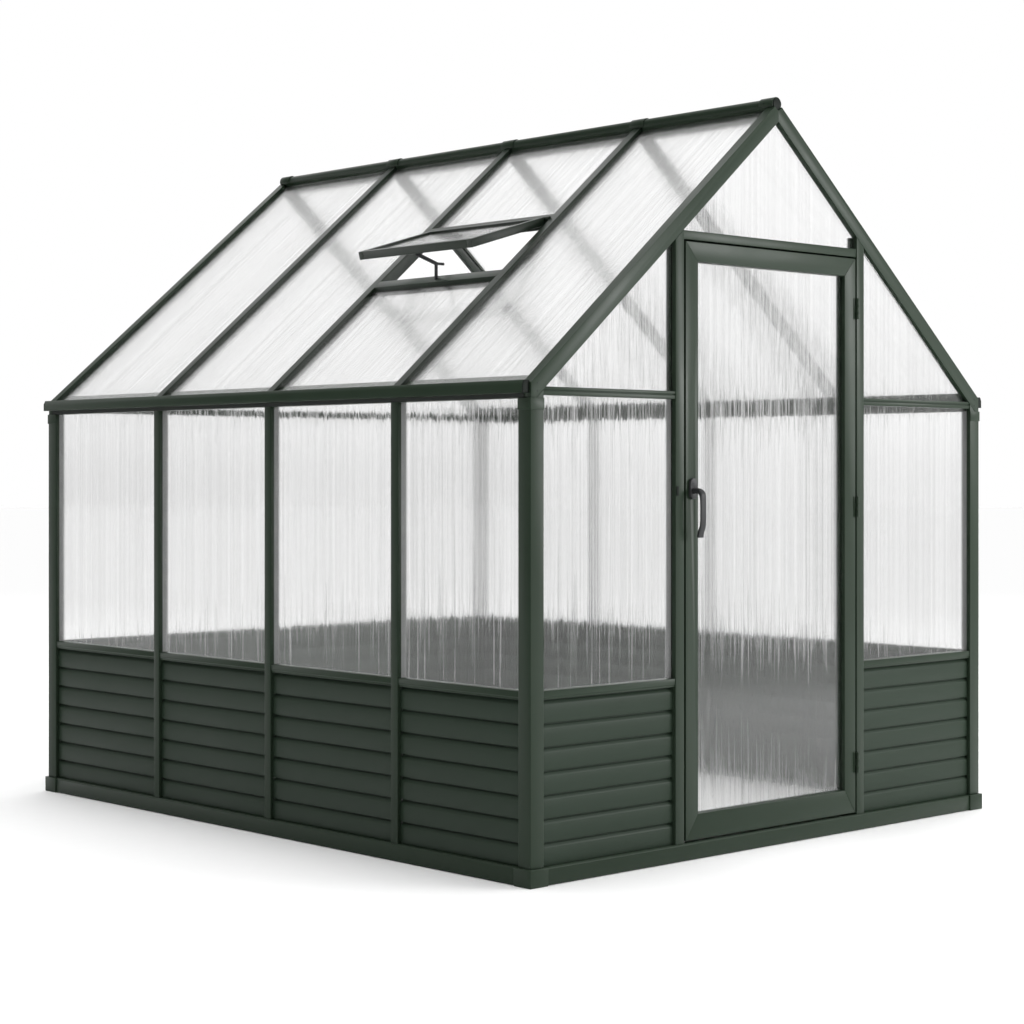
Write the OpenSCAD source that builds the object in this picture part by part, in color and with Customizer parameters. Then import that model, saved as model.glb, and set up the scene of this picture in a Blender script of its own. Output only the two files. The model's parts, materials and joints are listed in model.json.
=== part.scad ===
// Polycarbonate greenhouse: an aluminium frame on a low sill, lapped siding
// below twin-wall sheets, a gable roof with one open vent, a gutter along
// each eave, and a single outward-opening door in the front gable.
// Millimetres. The origin is on the ground under the middle of the building,
// +Z up, the front gable at -Y and the long walls at -X and +X.

/* [Overall] */
// width over the corner boots
base_w = 2000; // [1600:10:2600]
// length over the corner boots
base_l = 2400; // [1800:10:3600]
// bays in each long wall
side_bays = 4; // [3:1:6]
// height of the underside of the eave beams
eave_z = 1277; // [1100:1:1500]
// slope of the roof in degrees
roof_pitch = 40.3; // [30:0.1:45]

/* [Base] */
// height of the sill's top face
sill_z = 49; // [35:1:80]
// height of the sill's lower edge above the ground
sill_lift = 2; // [0:0.5:6]
// depth of the sill profile, front to back
sill_d = 44; // [42:1:60]
// bevel along the sill's outer top edge
sill_bevel = 4; // [1:0.5:4]
// how far the sill's face stands out from the posts
sill_proud = 4; // [1:0.5:6]
// how far the boot's face stands out from the posts
boot_proud = 8; // [6:0.5:14]
// length of each leg of a corner boot
boot_leg = 65; // [58:1:90]

/* [Posts and studs] */
// width of each face of a corner post
post_face = 48; // [44:1:70]
// width of a wall stud's outer cap
stud_w = 30; // [24:1:40]
// how far the studs and roof bars stand towards the front from even spacing
stud_shift = 50; // [0:1:80]
// width of the web behind a cap
web_w = 18; // [10:1:20]
// depth from a cap's face to the sheet behind it
cap_d = 14; // [8:1:18]
// depth of the wall frame, face to inside
frame_d = 40; // [34:1:44]
// thickness of the polycarbonate sheets
pane_t = 6; // [4:0.5:10]
// thickness of the plates that wrap the post heads
bracket_t = 2; // [1:0.5:4]
// height of the plates that wrap the post heads
bracket_h = 31; // [20:1:60]

/* [Lower wall] */
// underside of the rail above the siding
rail_z = 487; // [400:1:600]
// height of that rail
rail_h = 23; // [18:1:40]
// how far rails stand back from the posts' faces
rail_back = 2; // [1:0.5:6]
// height of the step along a rail's lower edge
rail_step_h = 7; // [3:0.5:10]
// depth of that step
rail_step_d = 2; // [1:0.5:4]
// boards in the height of the siding
boards = 7; // [5:1:9]
// how far the boards' faces stand back from the posts
board_back = 11; // [6:1:14]
// thickness of the siding panel
board_t = 20; // [16:1:26]
// depth of the shadow groove above each board
lap_groove = 9; // [4:0.5:12]
// height of the shadow groove
lap_slot = 5; // [3:0.5:8]
// height of the bevelled lip under the groove
lap_bevel = 9; // [5:0.5:14]
// how far the bevelled lip slopes in
lap_slope = 6; // [3:0.5:8]

/* [Eaves and gutters] */
// height of the roof plane above the eave beam's underside, at its edge
heel_h = 41; // [36:1:60]
// how far the rafters stop short of the posts' faces
heel_back = 2; // [0:0.5:6]
// outer width of a gutter
gutter_w = 25; // [22:1:50]
// height of the gutter's underside above the eave beam's underside
gutter_lift = 12; // [6:1:14]
// wall thickness of the gutter
gutter_t = 3; // [2:0.5:4]
// height of the gutter's inner wall
gutter_inner_h = 6; // [4:0.5:6]
// height of the gutter's upright face
gutter_face_h = 22; // [18:1:30]
// height of the sloping lip above that face
gutter_lip_h = 12; // [6:1:16]
// how far the lip slopes in
gutter_lip_in = 6; // [3:1:8]
// how far the gutter's ends stop short of the gable's face
gutter_end_back = 9; // [4:0.5:20]
// thickness of the gutter's end plates
gutter_cap_t = 2.5; // [1.5:0.5:4]
// underside of the rails across the gables at eave height
gable_rail_z = 1285; // [1240:1:1300]
// height of those rails
gable_rail_h = 22; // [18:1:30]
// height of the groove along their faces
gable_groove_h = 3; // [2:0.5:5]
// depth of that groove
gable_groove_d = 2.5; // [1:0.5:4]

/* [Roof] */
// depth of a gable rafter's face, square to the slope
rafter_d = 43; // [38:1:60]
// thickness of a gable rafter
rafter_t = 22; // [20:1:30]
// extra width of its cap over the sheet's edge
rafter_lap = 10; // [6:1:14]
// depth of a roof bar, square to the slope
bar_d = 40; // [30:1:42]
// thickness of the caps above the roof sheets
roof_cap_t = 10; // [6:1:12]
// radius of the round ridge
ridge_r = 17.5; // [14:0.5:24]
// height of the ridge's centre below the point where the roof planes meet
ridge_drop = 4; // [0:0.5:10]
// depth of the pointed underside of the ridge below its centre
ridge_tip = 20; // [18:0.5:30]
// thickness of the web under the ridge
ridge_web_t = 12; // [8:1:16]
// how far the ridge's ends stop short of the gables' faces
ridge_end_back = 7; // [4:0.5:20]
// thickness of the ridge's end plates
ridge_cap_t = 3; // [2:0.5:6]
// thickness of the clips over the ridge
clip_t = 3; // [2:0.5:5]
// length of the clip over each roof bar
clip_l = 58; // [40:1:80]
// length of the clip at each end of the ridge
end_clip_l = 52; // [40:1:80]
// height of the clips' lower edges above the roof
clip_gap = 5; // [3:0.5:8]

/* [Roof vent] */
// distance from the ridge to the lower edge of the vent's head bar, level
vent_head_u = 374; // [300:1:400]
// distance from the ridge to the upper edge of the vent's sill bar, level
vent_sill_u = 570; // [500:1:600]
// width of the head bar, level
vent_head_w = 16; // [14:1:30]
// width of the sill bar, level
vent_sill_w = 24; // [18:1:40]
// depth of these cross bars, upright
vent_bar_h = 34; // [28:1:50]
// fall of the open sash below level, in degrees
vent_fall = 16.5; // [5:0.5:20]
// length of the sash, hinge to lower edge
sash_l = 304; // [290:1:400]
// depth of the sash rails
sash_h = 25; // [18:1:32]
// width of the sash rails
sash_rail_w = 22; // [16:1:32]
// gap between the sash and the roof bar at each side
sash_gap = 20; // [5:0.5:40]
// radius of the vent's hinge
vent_pin_r = 5; // [3:0.5:6]
// how far the vent's hinge stands out from its head bar
vent_pin_out = 2; // [1.5:0.5:3]
// thickness of the stay's post and arm
stay_t = 8; // [5:0.5:12]
// height of the stay's post
stay_h = 40; // [30:1:50]
// how far the stay's arm runs on behind its post
stay_tail = 30; // [10:1:40]

/* [Door] */
// width of the doorway between the jambs
door_open_w = 768; // [700:2:900]
// how far the doorway's middle stands to the left of the building's
door_left = 20; // [0:1:60]
// width of each jamb
jamb_w = 35; // [28:1:50]
// how far the bar over the doorway stands below the rafters, at the jambs
transom_drop = 2; // [1:0.5:120]
// height of that bar
transom_h = 25; // [18:1:40]
// gap between the door and the jamb on the latch side
latch_gap = 8; // [7:0.5:12]
// gap between the door and the jamb on the hinge side
hinge_gap = 6; // [5:0.5:8]
// gap under the door
door_gap_low = 6; // [5:0.5:12]
// gap over the door
door_gap_top = 5; // [5:0.5:12]
// thickness of the door's frame
door_t = 36; // [28:1:40]
// width of the door's stiles
stile_w = 50; // [40:1:70]
// height of the door's top rail
head_h = 55; // [40:1:80]
// height of the door's bottom rail
foot_h = 71; // [50:1:120]
// how far the door's face stands back from the jambs
door_back = 1; // [0:0.5:4]
// depth of the groove that holds the door's sheet
pane_bite = 8; // [4:1:12]
// distance from the door's ends to its outer hinges
hinge_inset = 151; // [80:1:300]
// height of the middle hinge
hinge_mid_z = 978; // [700:1:1100]
// height of a hinge
hinge_h = 62; // [50:1:90]
// width of each hinge leaf
hinge_leaf_w = 5; // [4:0.5:30]
// thickness of each hinge leaf
hinge_leaf_t = 2; // [1.5:0.5:3]
// radius of a hinge barrel
barrel_r = 5; // [4:0.5:6]
// radius of a hinge pin
pin_r = 2.5; // [2:0.25:3]
// radial clearance of a pin in its barrel
pin_play = 0.1; // [0.05:0.05:0.2]
// gap between one barrel and the next
barrel_gap = 0.5; // [0.3:0.1:1]

/* [Door handle] */
// height of the handle's pivot
handle_z = 1030; // [900:1:1150]
// height of the handle's plate
rose_h = 58; // [50:1:90]
// width of the handle's plate
rose_w = 29; // [22:1:36]
// thickness of the handle's plate
rose_t = 8; // [5:0.5:12]
// how far the plate's centre stands above the pivot
rose_rise = 6; // [0:0.5:12]
// radius of the lever's neck
neck_r = 8; // [6:0.5:9]
// radial clearance of the neck in the plate
neck_play = 0.3; // [0.2:0.05:0.5]
// distance from the door's face to the back of the lever
neck_out = 39; // [30:1:60]
// length of the lever below the pivot
lever_l = 130; // [100:1:160]
// width of the lever
lever_w = 22; // [16:1:26]
// thickness of the lever's grip
lever_t = 6; // [5:0.5:12]
// half the height of the lever's elbow
elbow_h = 9; // [8.5:0.5:12]
// radius over the lever's elbow
elbow_r = 18; // [12:1:26]
// radius in the crook of the lever
crook_r = 6; // [3:0.5:10]
// height over which the lever bends back to the door
lever_bend_h = 42; // [36:1:60]
// how far the lever's foot bends back
lever_foot_in = 9.5; // [4:0.5:14]
// thickness of the lever's foot
lever_foot_t = 9; // [6:0.5:12]
// height of the lever's foot
lever_foot_h = 18; // [12:1:24]
// rounding of the lever's corners, seen from the front
lever_round = 5; // [2:0.5:7]
// radius of the shaft through the door
shaft_r = 4; // [3:0.5:6]
// width of the latch plate on the jamb
strike_w = 9; // [6:1:20]
// height of the latch plate on the jamb
strike_h = 26; // [20:1:50]
// distance from the latch plate to the jamb's outer edge
strike_in = 2; // [0:0.5:10]
// thickness of the latch plate
strike_t = 3; // [2:0.5:5]

/* [Hidden] */
$fn = 48;

// gap kept at curved and sloping faces
ease = 0.3;
// length by which joined shapes sink into each other
sink = 1;

frame_green = "#3a443d";
siding_green = "#353f38";
sheet_clear = "#dfe5e4";
metal_dark = "#3b3c3d";

post_x = base_w / 2 - boot_proud;
post_y = base_l / 2 - boot_proud;
core_x = post_x - frame_d;
core_y = post_y - frame_d;
side_x = post_x - post_face;
side_y = post_y - post_face;
pitch = 2 * (post_y - cap_d) / side_bays;
stud_ys = [for (i = [1 : side_bays - 1]) (i - side_bays / 2) * pitch - stud_shift];

// edges of the side bays between the studs' caps and between their webs
bay_caps = [for (i = [0 : side_bays - 1]) [
  i == 0 ? -side_y : stud_ys[i - 1] + stud_w / 2,
  i == side_bays - 1 ? side_y : stud_ys[i] - stud_w / 2
]];
bay_webs = [for (i = [0 : side_bays - 1]) [
  i == 0 ? -core_y : stud_ys[i - 1] + web_w / 2,
  i == side_bays - 1 ? core_y : stud_ys[i] - web_w / 2
]];

rail_top = rail_z + rail_h;
gable_rail_top = gable_rail_z + gable_rail_h;
board_h = (rail_z - sill_z) / boards;

// heights of the roof's planes at a distance u from the middle
rise = tan(roof_pitch);
plumb = 1 / cos(roof_pitch);
heel_x = post_x - heel_back;
apex_z = eave_z + heel_h + heel_x * rise;
function roof_z(u, depth = 0) = apex_z - u * rise - depth * plumb;
function roof_u(z, depth = 0) = (apex_z - depth * plumb - z) / rise;
sheet_top = roof_cap_t;
sheet_low = roof_cap_t + pane_t;
rafter_y = post_y - rafter_t;
ridge_z = apex_z - ridge_drop;
ridge_end_y = post_y - ridge_end_back;

roof_webs = [for (i = [0 : side_bays - 1]) [
  i == 0 ? -rafter_y : stud_ys[i - 1] + web_w / 2,
  i == side_bays - 1 ? rafter_y : stud_ys[i] - web_w / 2
]];
sheet_eave_u = post_x;
sheet_ridge_u = ridge_web_t / 2 + pane_t;
vent_bay = 1;
vent_y0 = stud_ys[vent_bay - 1] + stud_w / 2;
vent_y1 = stud_ys[vent_bay] - stud_w / 2;

// inner faces of the jambs, and the front wall's bays beside them
jamb_l = -door_left - door_open_w / 2;
jamb_r = -door_left + door_open_w / 2;
front_bays = [[-side_x, jamb_l - jamb_w], [jamb_r + jamb_w, side_x]];
front_webs = [[-core_x, jamb_l - jamb_w], [jamb_r + jamb_w, core_x]];
door_x0 = jamb_l + latch_gap;
door_x1 = jamb_r - hinge_gap;
transom_z = roof_z(-jamb_l, rafter_d) - transom_drop - transom_h;
door_z0 = sill_z + door_gap_low;
door_z1 = transom_z - door_gap_top;
door_y0 = -post_y + door_back;
door_y1 = door_y0 + door_t;
door_sheet_y = -post_y + cap_d;
hinge_x = jamb_r - hinge_gap / 2;
hinge_y = -post_y - barrel_r;
barrel_h = hinge_h / 3;
hinge_zs = [door_z0 + hinge_inset, hinge_mid_z, door_z1 - hinge_inset];
handle_x = door_x0 + stile_w / 2;
lever_reach = neck_out + lever_t;
neck_start = lever_reach - elbow_r - sink;
lever_side_x = lever_w / 2 - lever_round;

// points on a quarter circle about a centre, from one angle to another
function quarter(x, z, r, from, to) =
  [for (i = [0 : 6]) let (a = from + (to - from) * i / 6) [x + r * cos(a), z + r * sin(a)]];

// lever seen from the side: distance out from the door's face, height above the pivot
lever_side = concat(
  [[neck_start, -elbow_h], [neck_start, elbow_h]],
  quarter(lever_reach - elbow_r, elbow_h - elbow_r, elbow_r, 90, 0),
  [
    [lever_reach, lever_bend_h - lever_l],
    [lever_reach - lever_foot_in, -lever_l],
    [lever_reach - lever_foot_in - lever_foot_t, -lever_l],
    [lever_reach - lever_foot_in - lever_foot_t, lever_foot_h - lever_l],
    [neck_out, lever_bend_h - lever_l]
  ],
  quarter(neck_out - crook_r, -elbow_h - crook_r, crook_r, 0, 90)
);

// lever seen from the front, with rounded corners
lever_front = concat(
  quarter(handle_x + lever_side_x, handle_z + elbow_h - lever_round, lever_round, 0, 90),
  quarter(handle_x - lever_side_x, handle_z + elbow_h - lever_round, lever_round, 90, 180),
  quarter(handle_x - lever_side_x, handle_z - lever_l + lever_round, lever_round, 180, 270),
  quarter(handle_x + lever_side_x, handle_z - lever_l + lever_round, lever_round, 270, 360)
);

// A box given by its limits.
module span_box(x, y, z) {
  translate([x[0], y[0], z[0]])
    cube([x[1] - x[0], y[1] - y[0], z[1] - z[0]]);
}

// A profile in X and Z, drawn out along Y.
module along_y(points, y) {
  translate([0, y[1], 0])
    rotate([90, 0, 0])
      linear_extrude(y[1] - y[0])
        polygon(points);
}

// A profile in Y and Z, drawn out along X.
module along_x(points, x) {
  translate([x[0], 0, 0])
    rotate([90, 0, 90])
      linear_extrude(x[1] - x[0])
        polygon(points);
}

// A round bar along Y.
module rod_y(r, x, z, y) {
  translate([x, y[1], z])
    rotate([90, 0, 0])
      cylinder(r = r, h = y[1] - y[0]);
}

// The child and its mirror image across the long middle plane.
module both_sides() {
  children();
  mirror([1, 0, 0])
    children();
}

// The child and its mirror image across the middle plane between the gables.
module both_ends() {
  children();
  mirror([0, 1, 0])
    children();
}

module four_corners() {
  both_sides()
    both_ends()
      children();
}

// Sill profile measured from a wall's face, which stands at distance f.
function sill_profile(f) = [
  [f + sill_proud, sill_lift],
  [f + sill_proud, sill_z - sill_bevel],
  [f + sill_proud - sill_bevel, sill_z],
  [f + sill_proud - sill_d, sill_z],
  [f + sill_proud - sill_d, sill_lift]
];

// One side of a siding panel: flat boards, each with a bevelled lip under a
// shadow groove. The wall's face stands at distance f.
function lap_face(f) = [
  for (i = [0 : boards - 1])
    let (z = sill_z + i * board_h, d = f - board_back)
      each [
        [d, z],
        [d, z + board_h - lap_slot - lap_bevel],
        [d - lap_slope, z + board_h - lap_slot],
        [d - lap_groove, z + board_h - lap_slot],
        [d - lap_groove, z + board_h]
      ]
];
function lap_profile(f) = concat(
  lap_face(f),
  [[f - board_back - board_t, rail_z], [f - board_back - board_t, sill_z]]
);

// Rail profile with a shallow step along its lower edge.
function rail_profile(f, z, h) = [
  [f - rail_back, z + h],
  [f - rail_back, z + rail_step_h],
  [f - rail_back - rail_step_d, z + rail_step_h - rail_step_d],
  [f - rail_back - rail_step_d, z],
  [f - frame_d + rail_back, z],
  [f - frame_d + rail_back, z + h]
];

module corner_boots() {
  color(frame_green)
    four_corners()
      union() {
        span_box([base_w / 2 - boot_leg, base_w / 2], [core_y, base_l / 2], [0, sill_z]);
        span_box([core_x, base_w / 2], [base_l / 2 - boot_leg, base_l / 2], [0, sill_z]);
      }
}

module base_sills() {
  color(frame_green) {
    both_sides()
      along_y(sill_profile(post_x), [-base_l / 2 + boot_leg, base_l / 2 - boot_leg]);
    both_ends()
      along_x(sill_profile(post_y), [-base_w / 2 + boot_leg, base_w / 2 - boot_leg]);
  }
}

// Corner post: an outer angle over the sheets' edges, a square core behind,
// and a wedge that fills the corner under the rafter's foot.
module corner_posts() {
  color(frame_green)
    four_corners()
      union() {
        translate([0, 0, sill_z])
          linear_extrude(eave_z - sill_z)
            polygon([
              [post_x, post_y],
              [side_x, post_y],
              [side_x, post_y - cap_d],
              [core_x, post_y - cap_d],
              [core_x, core_y],
              [post_x - cap_d, core_y],
              [post_x - cap_d, side_y],
              [post_x, side_y]
            ]);
        along_y([
          [side_x, eave_z - sink],
          [roof_u(eave_z, rafter_d), eave_z - sink],
          [roof_u(eave_z, rafter_d), eave_z],
          [side_x, roof_z(side_x, rafter_d)]
        ], [post_y - cap_d, post_y]);
      }
}

module corner_brackets() {
  color(frame_green)
    four_corners()
      translate([0, 0, eave_z - bracket_h])
        linear_extrude(bracket_h)
          polygon([
            [side_x, post_y],
            [post_x, post_y],
            [post_x, side_y],
            [post_x + bracket_t, side_y],
            [post_x + bracket_t, post_y + bracket_t],
            [side_x, post_y + bracket_t]
          ]);
}

module wall_studs() {
  color(frame_green)
    both_sides()
      for (y = stud_ys)
        union() {
          span_box([post_x - cap_d, post_x], [y - stud_w / 2, y + stud_w / 2], [sill_z, eave_z]);
          span_box([core_x, post_x - cap_d + sink], [y - web_w / 2, y + web_w / 2], [sill_z, eave_z]);
        }
}

module mid_rails() {
  color(frame_green) {
    both_sides()
      for (bay = bay_caps)
        along_y(rail_profile(post_x, rail_z, rail_h), bay);
    mirror([0, 1, 0])
      for (bay = front_bays)
        along_x(rail_profile(post_y, rail_z, rail_h), bay);
    along_x(rail_profile(post_y, rail_z, rail_h), [-side_x, side_x]);
  }
}

module side_siding() {
  color(siding_green)
    both_sides()
      for (bay = bay_caps)
        along_y(lap_profile(post_x), bay);
}

module gable_siding() {
  color(siding_green) {
    mirror([0, 1, 0])
      for (bay = front_bays)
        along_x(lap_profile(post_y), bay);
    along_x(lap_profile(post_y), [-side_x, side_x]);
  }
}

module side_panes() {
  color(sheet_clear)
    both_sides()
      for (bay = bay_webs)
        span_box([post_x - cap_d - pane_t, post_x - cap_d], bay, [rail_top, eave_z]);
}

module front_panes() {
  color(sheet_clear)
    for (bay = front_webs)
      span_box(bay, [door_sheet_y, door_sheet_y + pane_t], [rail_top, gable_rail_z]);
}

module rear_pane() {
  color(sheet_clear)
    span_box([-core_x, core_x], [-door_sheet_y - pane_t, -door_sheet_y], [rail_top, gable_rail_z]);
}

// Eave beam: its top follows the underside of the roof sheets.
module eave_beams() {
  color(frame_green)
    both_sides()
      along_y([
        [heel_x, eave_z],
        [heel_x, roof_z(heel_x, sheet_low + ease)],
        [side_x, roof_z(side_x, sheet_low + ease)],
        [side_x, eave_z]
      ], [-rafter_y, rafter_y]);
}

gutter_z = eave_z + gutter_lift;
gutter_out = heel_x + gutter_w;
gutter_face_top = gutter_z + gutter_face_h;
gutter_top = gutter_face_top + gutter_lip_h;
gutter_end_y = post_y - gutter_end_back;

module gutters() {
  color(frame_green)
    both_sides()
      along_y([
        [heel_x, gutter_z],
        [gutter_out, gutter_z],
        [gutter_out, gutter_face_top],
        [gutter_out - gutter_lip_in, gutter_top],
        [gutter_out - gutter_lip_in - gutter_t, gutter_top],
        [gutter_out - gutter_t, gutter_face_top],
        [gutter_out - gutter_t, gutter_z + gutter_t],
        [heel_x + gutter_t, gutter_z + gutter_t],
        [heel_x + gutter_t, gutter_z + gutter_inner_h],
        [heel_x, gutter_z + gutter_inner_h]
      ], [-gutter_end_y, gutter_end_y]);
}

module gutter_end_caps() {
  color(frame_green)
    four_corners()
      along_y([
        [heel_x + ease, gutter_z],
        [gutter_out, gutter_z],
        [gutter_out, gutter_face_top],
        [gutter_out - gutter_lip_in, gutter_top],
        [heel_x + ease, gutter_top]
      ], [gutter_end_y, gutter_end_y + gutter_cap_t]);
}

// Rails across the gables at eave height, cut to the rafters at their ends,
// with a groove along the face.
module gable_rail(x0) {
  face_y = post_y - rail_back;
  groove_z = gable_rail_z + gable_rail_h / 2;
  difference() {
    along_y([
      [x0, gable_rail_z],
      [side_x, gable_rail_z],
      [side_x, roof_z(side_x, rafter_d)],
      [roof_u(gable_rail_top, rafter_d), gable_rail_top],
      [x0, gable_rail_top]
    ], [core_y + rail_back, face_y]);
    span_box(
      [x0 - sink, side_x + sink],
      [face_y - gable_groove_d, face_y + sink],
      [groove_z, groove_z + gable_groove_h]
    );
  }
}

module gable_rails() {
  color(frame_green) {
    mirror([0, 1, 0]) {
      gable_rail(front_bays[1][0]);
      mirror([1, 0, 0])
        gable_rail(-front_bays[0][1]);
    }
    both_sides()
      gable_rail(-sink);
  }
}

// The round ridge with its pointed underside, or the room cut for it.
module ridge_shape(grow, y) {
  r = ridge_r + grow;
  tip = ridge_tip + grow;
  touch_x = r * sqrt(1 - pow(r / tip, 2));
  touch_z = ridge_z - r * r / tip;
  rod_y(r, 0, ridge_z, y);
  along_y([
    [-touch_x, ridge_z],
    [touch_x, ridge_z],
    [touch_x, touch_z],
    [0, ridge_z - tip],
    [-touch_x, touch_z]
  ], y);
}

// Gable rafter on the +X, +Y corner: a deep face and a cap over the sheet.
module gable_rafter() {
  difference() {
    union() {
      along_y([
        [0, roof_z(0)],
        [heel_x, roof_z(heel_x)],
        [heel_x, eave_z],
        [roof_u(eave_z, rafter_d), eave_z],
        [0, roof_z(0, rafter_d)]
      ], [rafter_y, post_y]);
      along_y([
        [ridge_r + ease, roof_z(ridge_r + ease)],
        [heel_x, roof_z(heel_x)],
        [heel_x, roof_z(heel_x, sheet_top)],
        [ridge_r + ease, roof_z(ridge_r + ease, sheet_top)]
      ], [rafter_y - rafter_lap, rafter_y + sink]);
    }
    ridge_shape(ease, [rafter_y - rafter_lap - sink, post_y + sink]);
  }
}

module front_rafter_left() {
  color(frame_green)
    rotate([0, 0, 180])
      gable_rafter();
}

module front_rafter_right() {
  color(frame_green)
    mirror([0, 1, 0])
      gable_rafter();
}

module rear_rafter_left() {
  color(frame_green)
    mirror([1, 0, 0])
      gable_rafter();
}

module rear_rafter_right() {
  color(frame_green)
    gable_rafter();
}

// Roof bar: a cap over the edges of two sheets, a web between them, and a
// notch that sits on the eave beam.
module roof_bar(y) {
  difference() {
    union() {
      along_y([
        [ridge_web_t / 2, roof_z(ridge_web_t / 2)],
        [heel_x, roof_z(heel_x)],
        [heel_x, roof_z(heel_x, sheet_top)],
        [ridge_web_t / 2, roof_z(ridge_web_t / 2, sheet_top)]
      ], [y - stud_w / 2, y + stud_w / 2]);
      along_y([
        [ridge_web_t / 2, roof_z(ridge_web_t / 2, sheet_top - sink)],
        [heel_x, roof_z(heel_x, sheet_top - sink)],
        [heel_x, roof_z(heel_x, sheet_low)],
        [side_x, roof_z(side_x, sheet_low)],
        [side_x, roof_z(side_x, bar_d)],
        [ridge_web_t / 2, roof_z(ridge_web_t / 2, bar_d)]
      ], [y - web_w / 2, y + web_w / 2]);
    }
    ridge_shape(ease, [y - stud_w, y + stud_w]);
  }
}

module left_roof_bars() {
  color(frame_green)
    mirror([1, 0, 0])
      for (y = stud_ys)
        roof_bar(y);
}

module right_roof_bars() {
  color(frame_green)
    for (y = stud_ys)
      roof_bar(y);
}

module ridge_beam() {
  color(frame_green)
    union() {
      ridge_shape(0, [-ridge_end_y, ridge_end_y]);
      span_box(
        [-ridge_web_t / 2, ridge_web_t / 2],
        [-rafter_y + rafter_lap, rafter_y - rafter_lap],
        [roof_z(ridge_web_t / 2, bar_d), ridge_z]
      );
    }
}

// Clip over the round of the ridge, clear of the roof's slopes.
module ridge_clip(y) {
  cut_y = [y[0] - sink, y[1] + sink];
  half_w = ridge_r + clip_t + sink;
  skirt_z = roof_z(ridge_r + clip_t) + clip_gap;
  difference() {
    rod_y(ridge_r + clip_t, 0, ridge_z, y);
    rod_y(ridge_r, 0, ridge_z, cut_y);
    span_box([-half_w, half_w], cut_y, [ridge_z - half_w, skirt_z]);
  }
}

module ridge_clips() {
  color(frame_green) {
    for (y = stud_ys)
      ridge_clip([y - clip_l / 2, y + clip_l / 2]);
    both_ends()
      ridge_clip([ridge_end_y - end_clip_l, ridge_end_y]);
  }
}

module ridge_end_caps() {
  color(frame_green)
    both_ends()
      ridge_shape(0, [ridge_end_y, ridge_end_y + ridge_cap_t]);
}

// Roof sheet between two distances from the ridge.
module roof_sheet(u, y) {
  along_y([
    [u[0], roof_z(u[0], sheet_top)],
    [u[1], roof_z(u[1], sheet_top)],
    [u[1], roof_z(u[1], sheet_low)],
    [u[0], roof_z(u[0], sheet_low)]
  ], y);
}

module left_roof_panes() {
  color(sheet_clear)
    mirror([1, 0, 0])
      for (i = [0 : side_bays - 1])
        if (i == vent_bay) {
          roof_sheet([sheet_ridge_u, vent_head_u - vent_head_w], roof_webs[i]);
          roof_sheet([vent_sill_u + vent_sill_w, sheet_eave_u], roof_webs[i]);
        } else {
          roof_sheet([sheet_ridge_u, sheet_eave_u], roof_webs[i]);
        }
}

module right_roof_panes() {
  color(sheet_clear)
    for (bay = roof_webs)
      roof_sheet([sheet_ridge_u, sheet_eave_u], bay);
}

// Sheet between a jamb at x0 and the foot of the right rafter.
module gable_corner_sheet(x0) {
  along_y([
    [x0, gable_rail_top],
    [roof_u(gable_rail_top, rafter_d), gable_rail_top],
    [x0, roof_z(x0, rafter_d)]
  ], [door_sheet_y, door_sheet_y + pane_t]);
}

module front_gable_panes() {
  color(sheet_clear) {
    gable_corner_sheet(front_bays[1][0]);
    mirror([1, 0, 0])
      gable_corner_sheet(-front_bays[0][1]);
    along_y([
      [jamb_l, transom_z + transom_h],
      [jamb_r, transom_z + transom_h],
      [jamb_r, roof_z(jamb_r, rafter_d)],
      [0, roof_z(0, rafter_d)],
      [jamb_l, roof_z(-jamb_l, rafter_d)]
    ], [door_sheet_y, door_sheet_y + pane_t]);
  }
}

module rear_gable_pane() {
  color(sheet_clear)
    along_y([
      [-roof_u(gable_rail_top, rafter_d), gable_rail_top],
      [roof_u(gable_rail_top, rafter_d), gable_rail_top],
      [0, roof_z(0, rafter_d)]
    ], [-door_sheet_y - pane_t, -door_sheet_y]);
}

// Jamb on the right whose inner face stands at x0, cut to the rafter.
module door_jamb(x0) {
  along_y([
    [x0, sill_z],
    [x0 + jamb_w, sill_z],
    [x0 + jamb_w, roof_z(x0 + jamb_w, rafter_d)],
    [x0, roof_z(x0, rafter_d)]
  ], [-post_y, -core_y]);
}

module door_jambs() {
  color(frame_green) {
    door_jamb(jamb_r);
    mirror([1, 0, 0])
      door_jamb(-jamb_l);
  }
}

module door_transom() {
  color(frame_green)
    span_box([jamb_l, jamb_r], [-post_y + rail_back, -core_y], [transom_z, transom_z + transom_h]);
}

// Cross bar of the vent, upright at its long edges.
module vent_bar(u) {
  along_y([
    [u[0], roof_z(u[0])],
    [u[1], roof_z(u[1])],
    [u[1], roof_z(u[1]) - vent_bar_h],
    [u[0], roof_z(u[0]) - vent_bar_h]
  ], [vent_y0, vent_y1]);
}

vent_pin_u = vent_head_u + vent_pin_out;
vent_pin_z = roof_z(vent_head_u);

module vent_cross_bars() {
  color(frame_green)
    mirror([1, 0, 0]) {
      union() {
        vent_bar([vent_head_u - vent_head_w, vent_head_u]);
        rod_y(vent_pin_r, vent_pin_u, vent_pin_z, [vent_y0, vent_y1]);
      }
      vent_bar([vent_sill_u, vent_sill_u + vent_sill_w]);
    }
}

// Places a shape drawn down the sash's slope: X runs from the hinge to the
// lower edge, Z stands on the sash's upper face.
module on_sash() {
  mirror([1, 0, 0])
    translate([vent_pin_u, 0, vent_pin_z])
      rotate([0, vent_fall, 0])
        children();
}

sash_x0 = vent_pin_r + ease;
sash_x1 = sash_x0 + sash_l;
sash_y0 = vent_y0 + sash_gap;
sash_y1 = vent_y1 - sash_gap;
sash_z = [vent_pin_r - sash_h, vent_pin_r];

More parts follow.
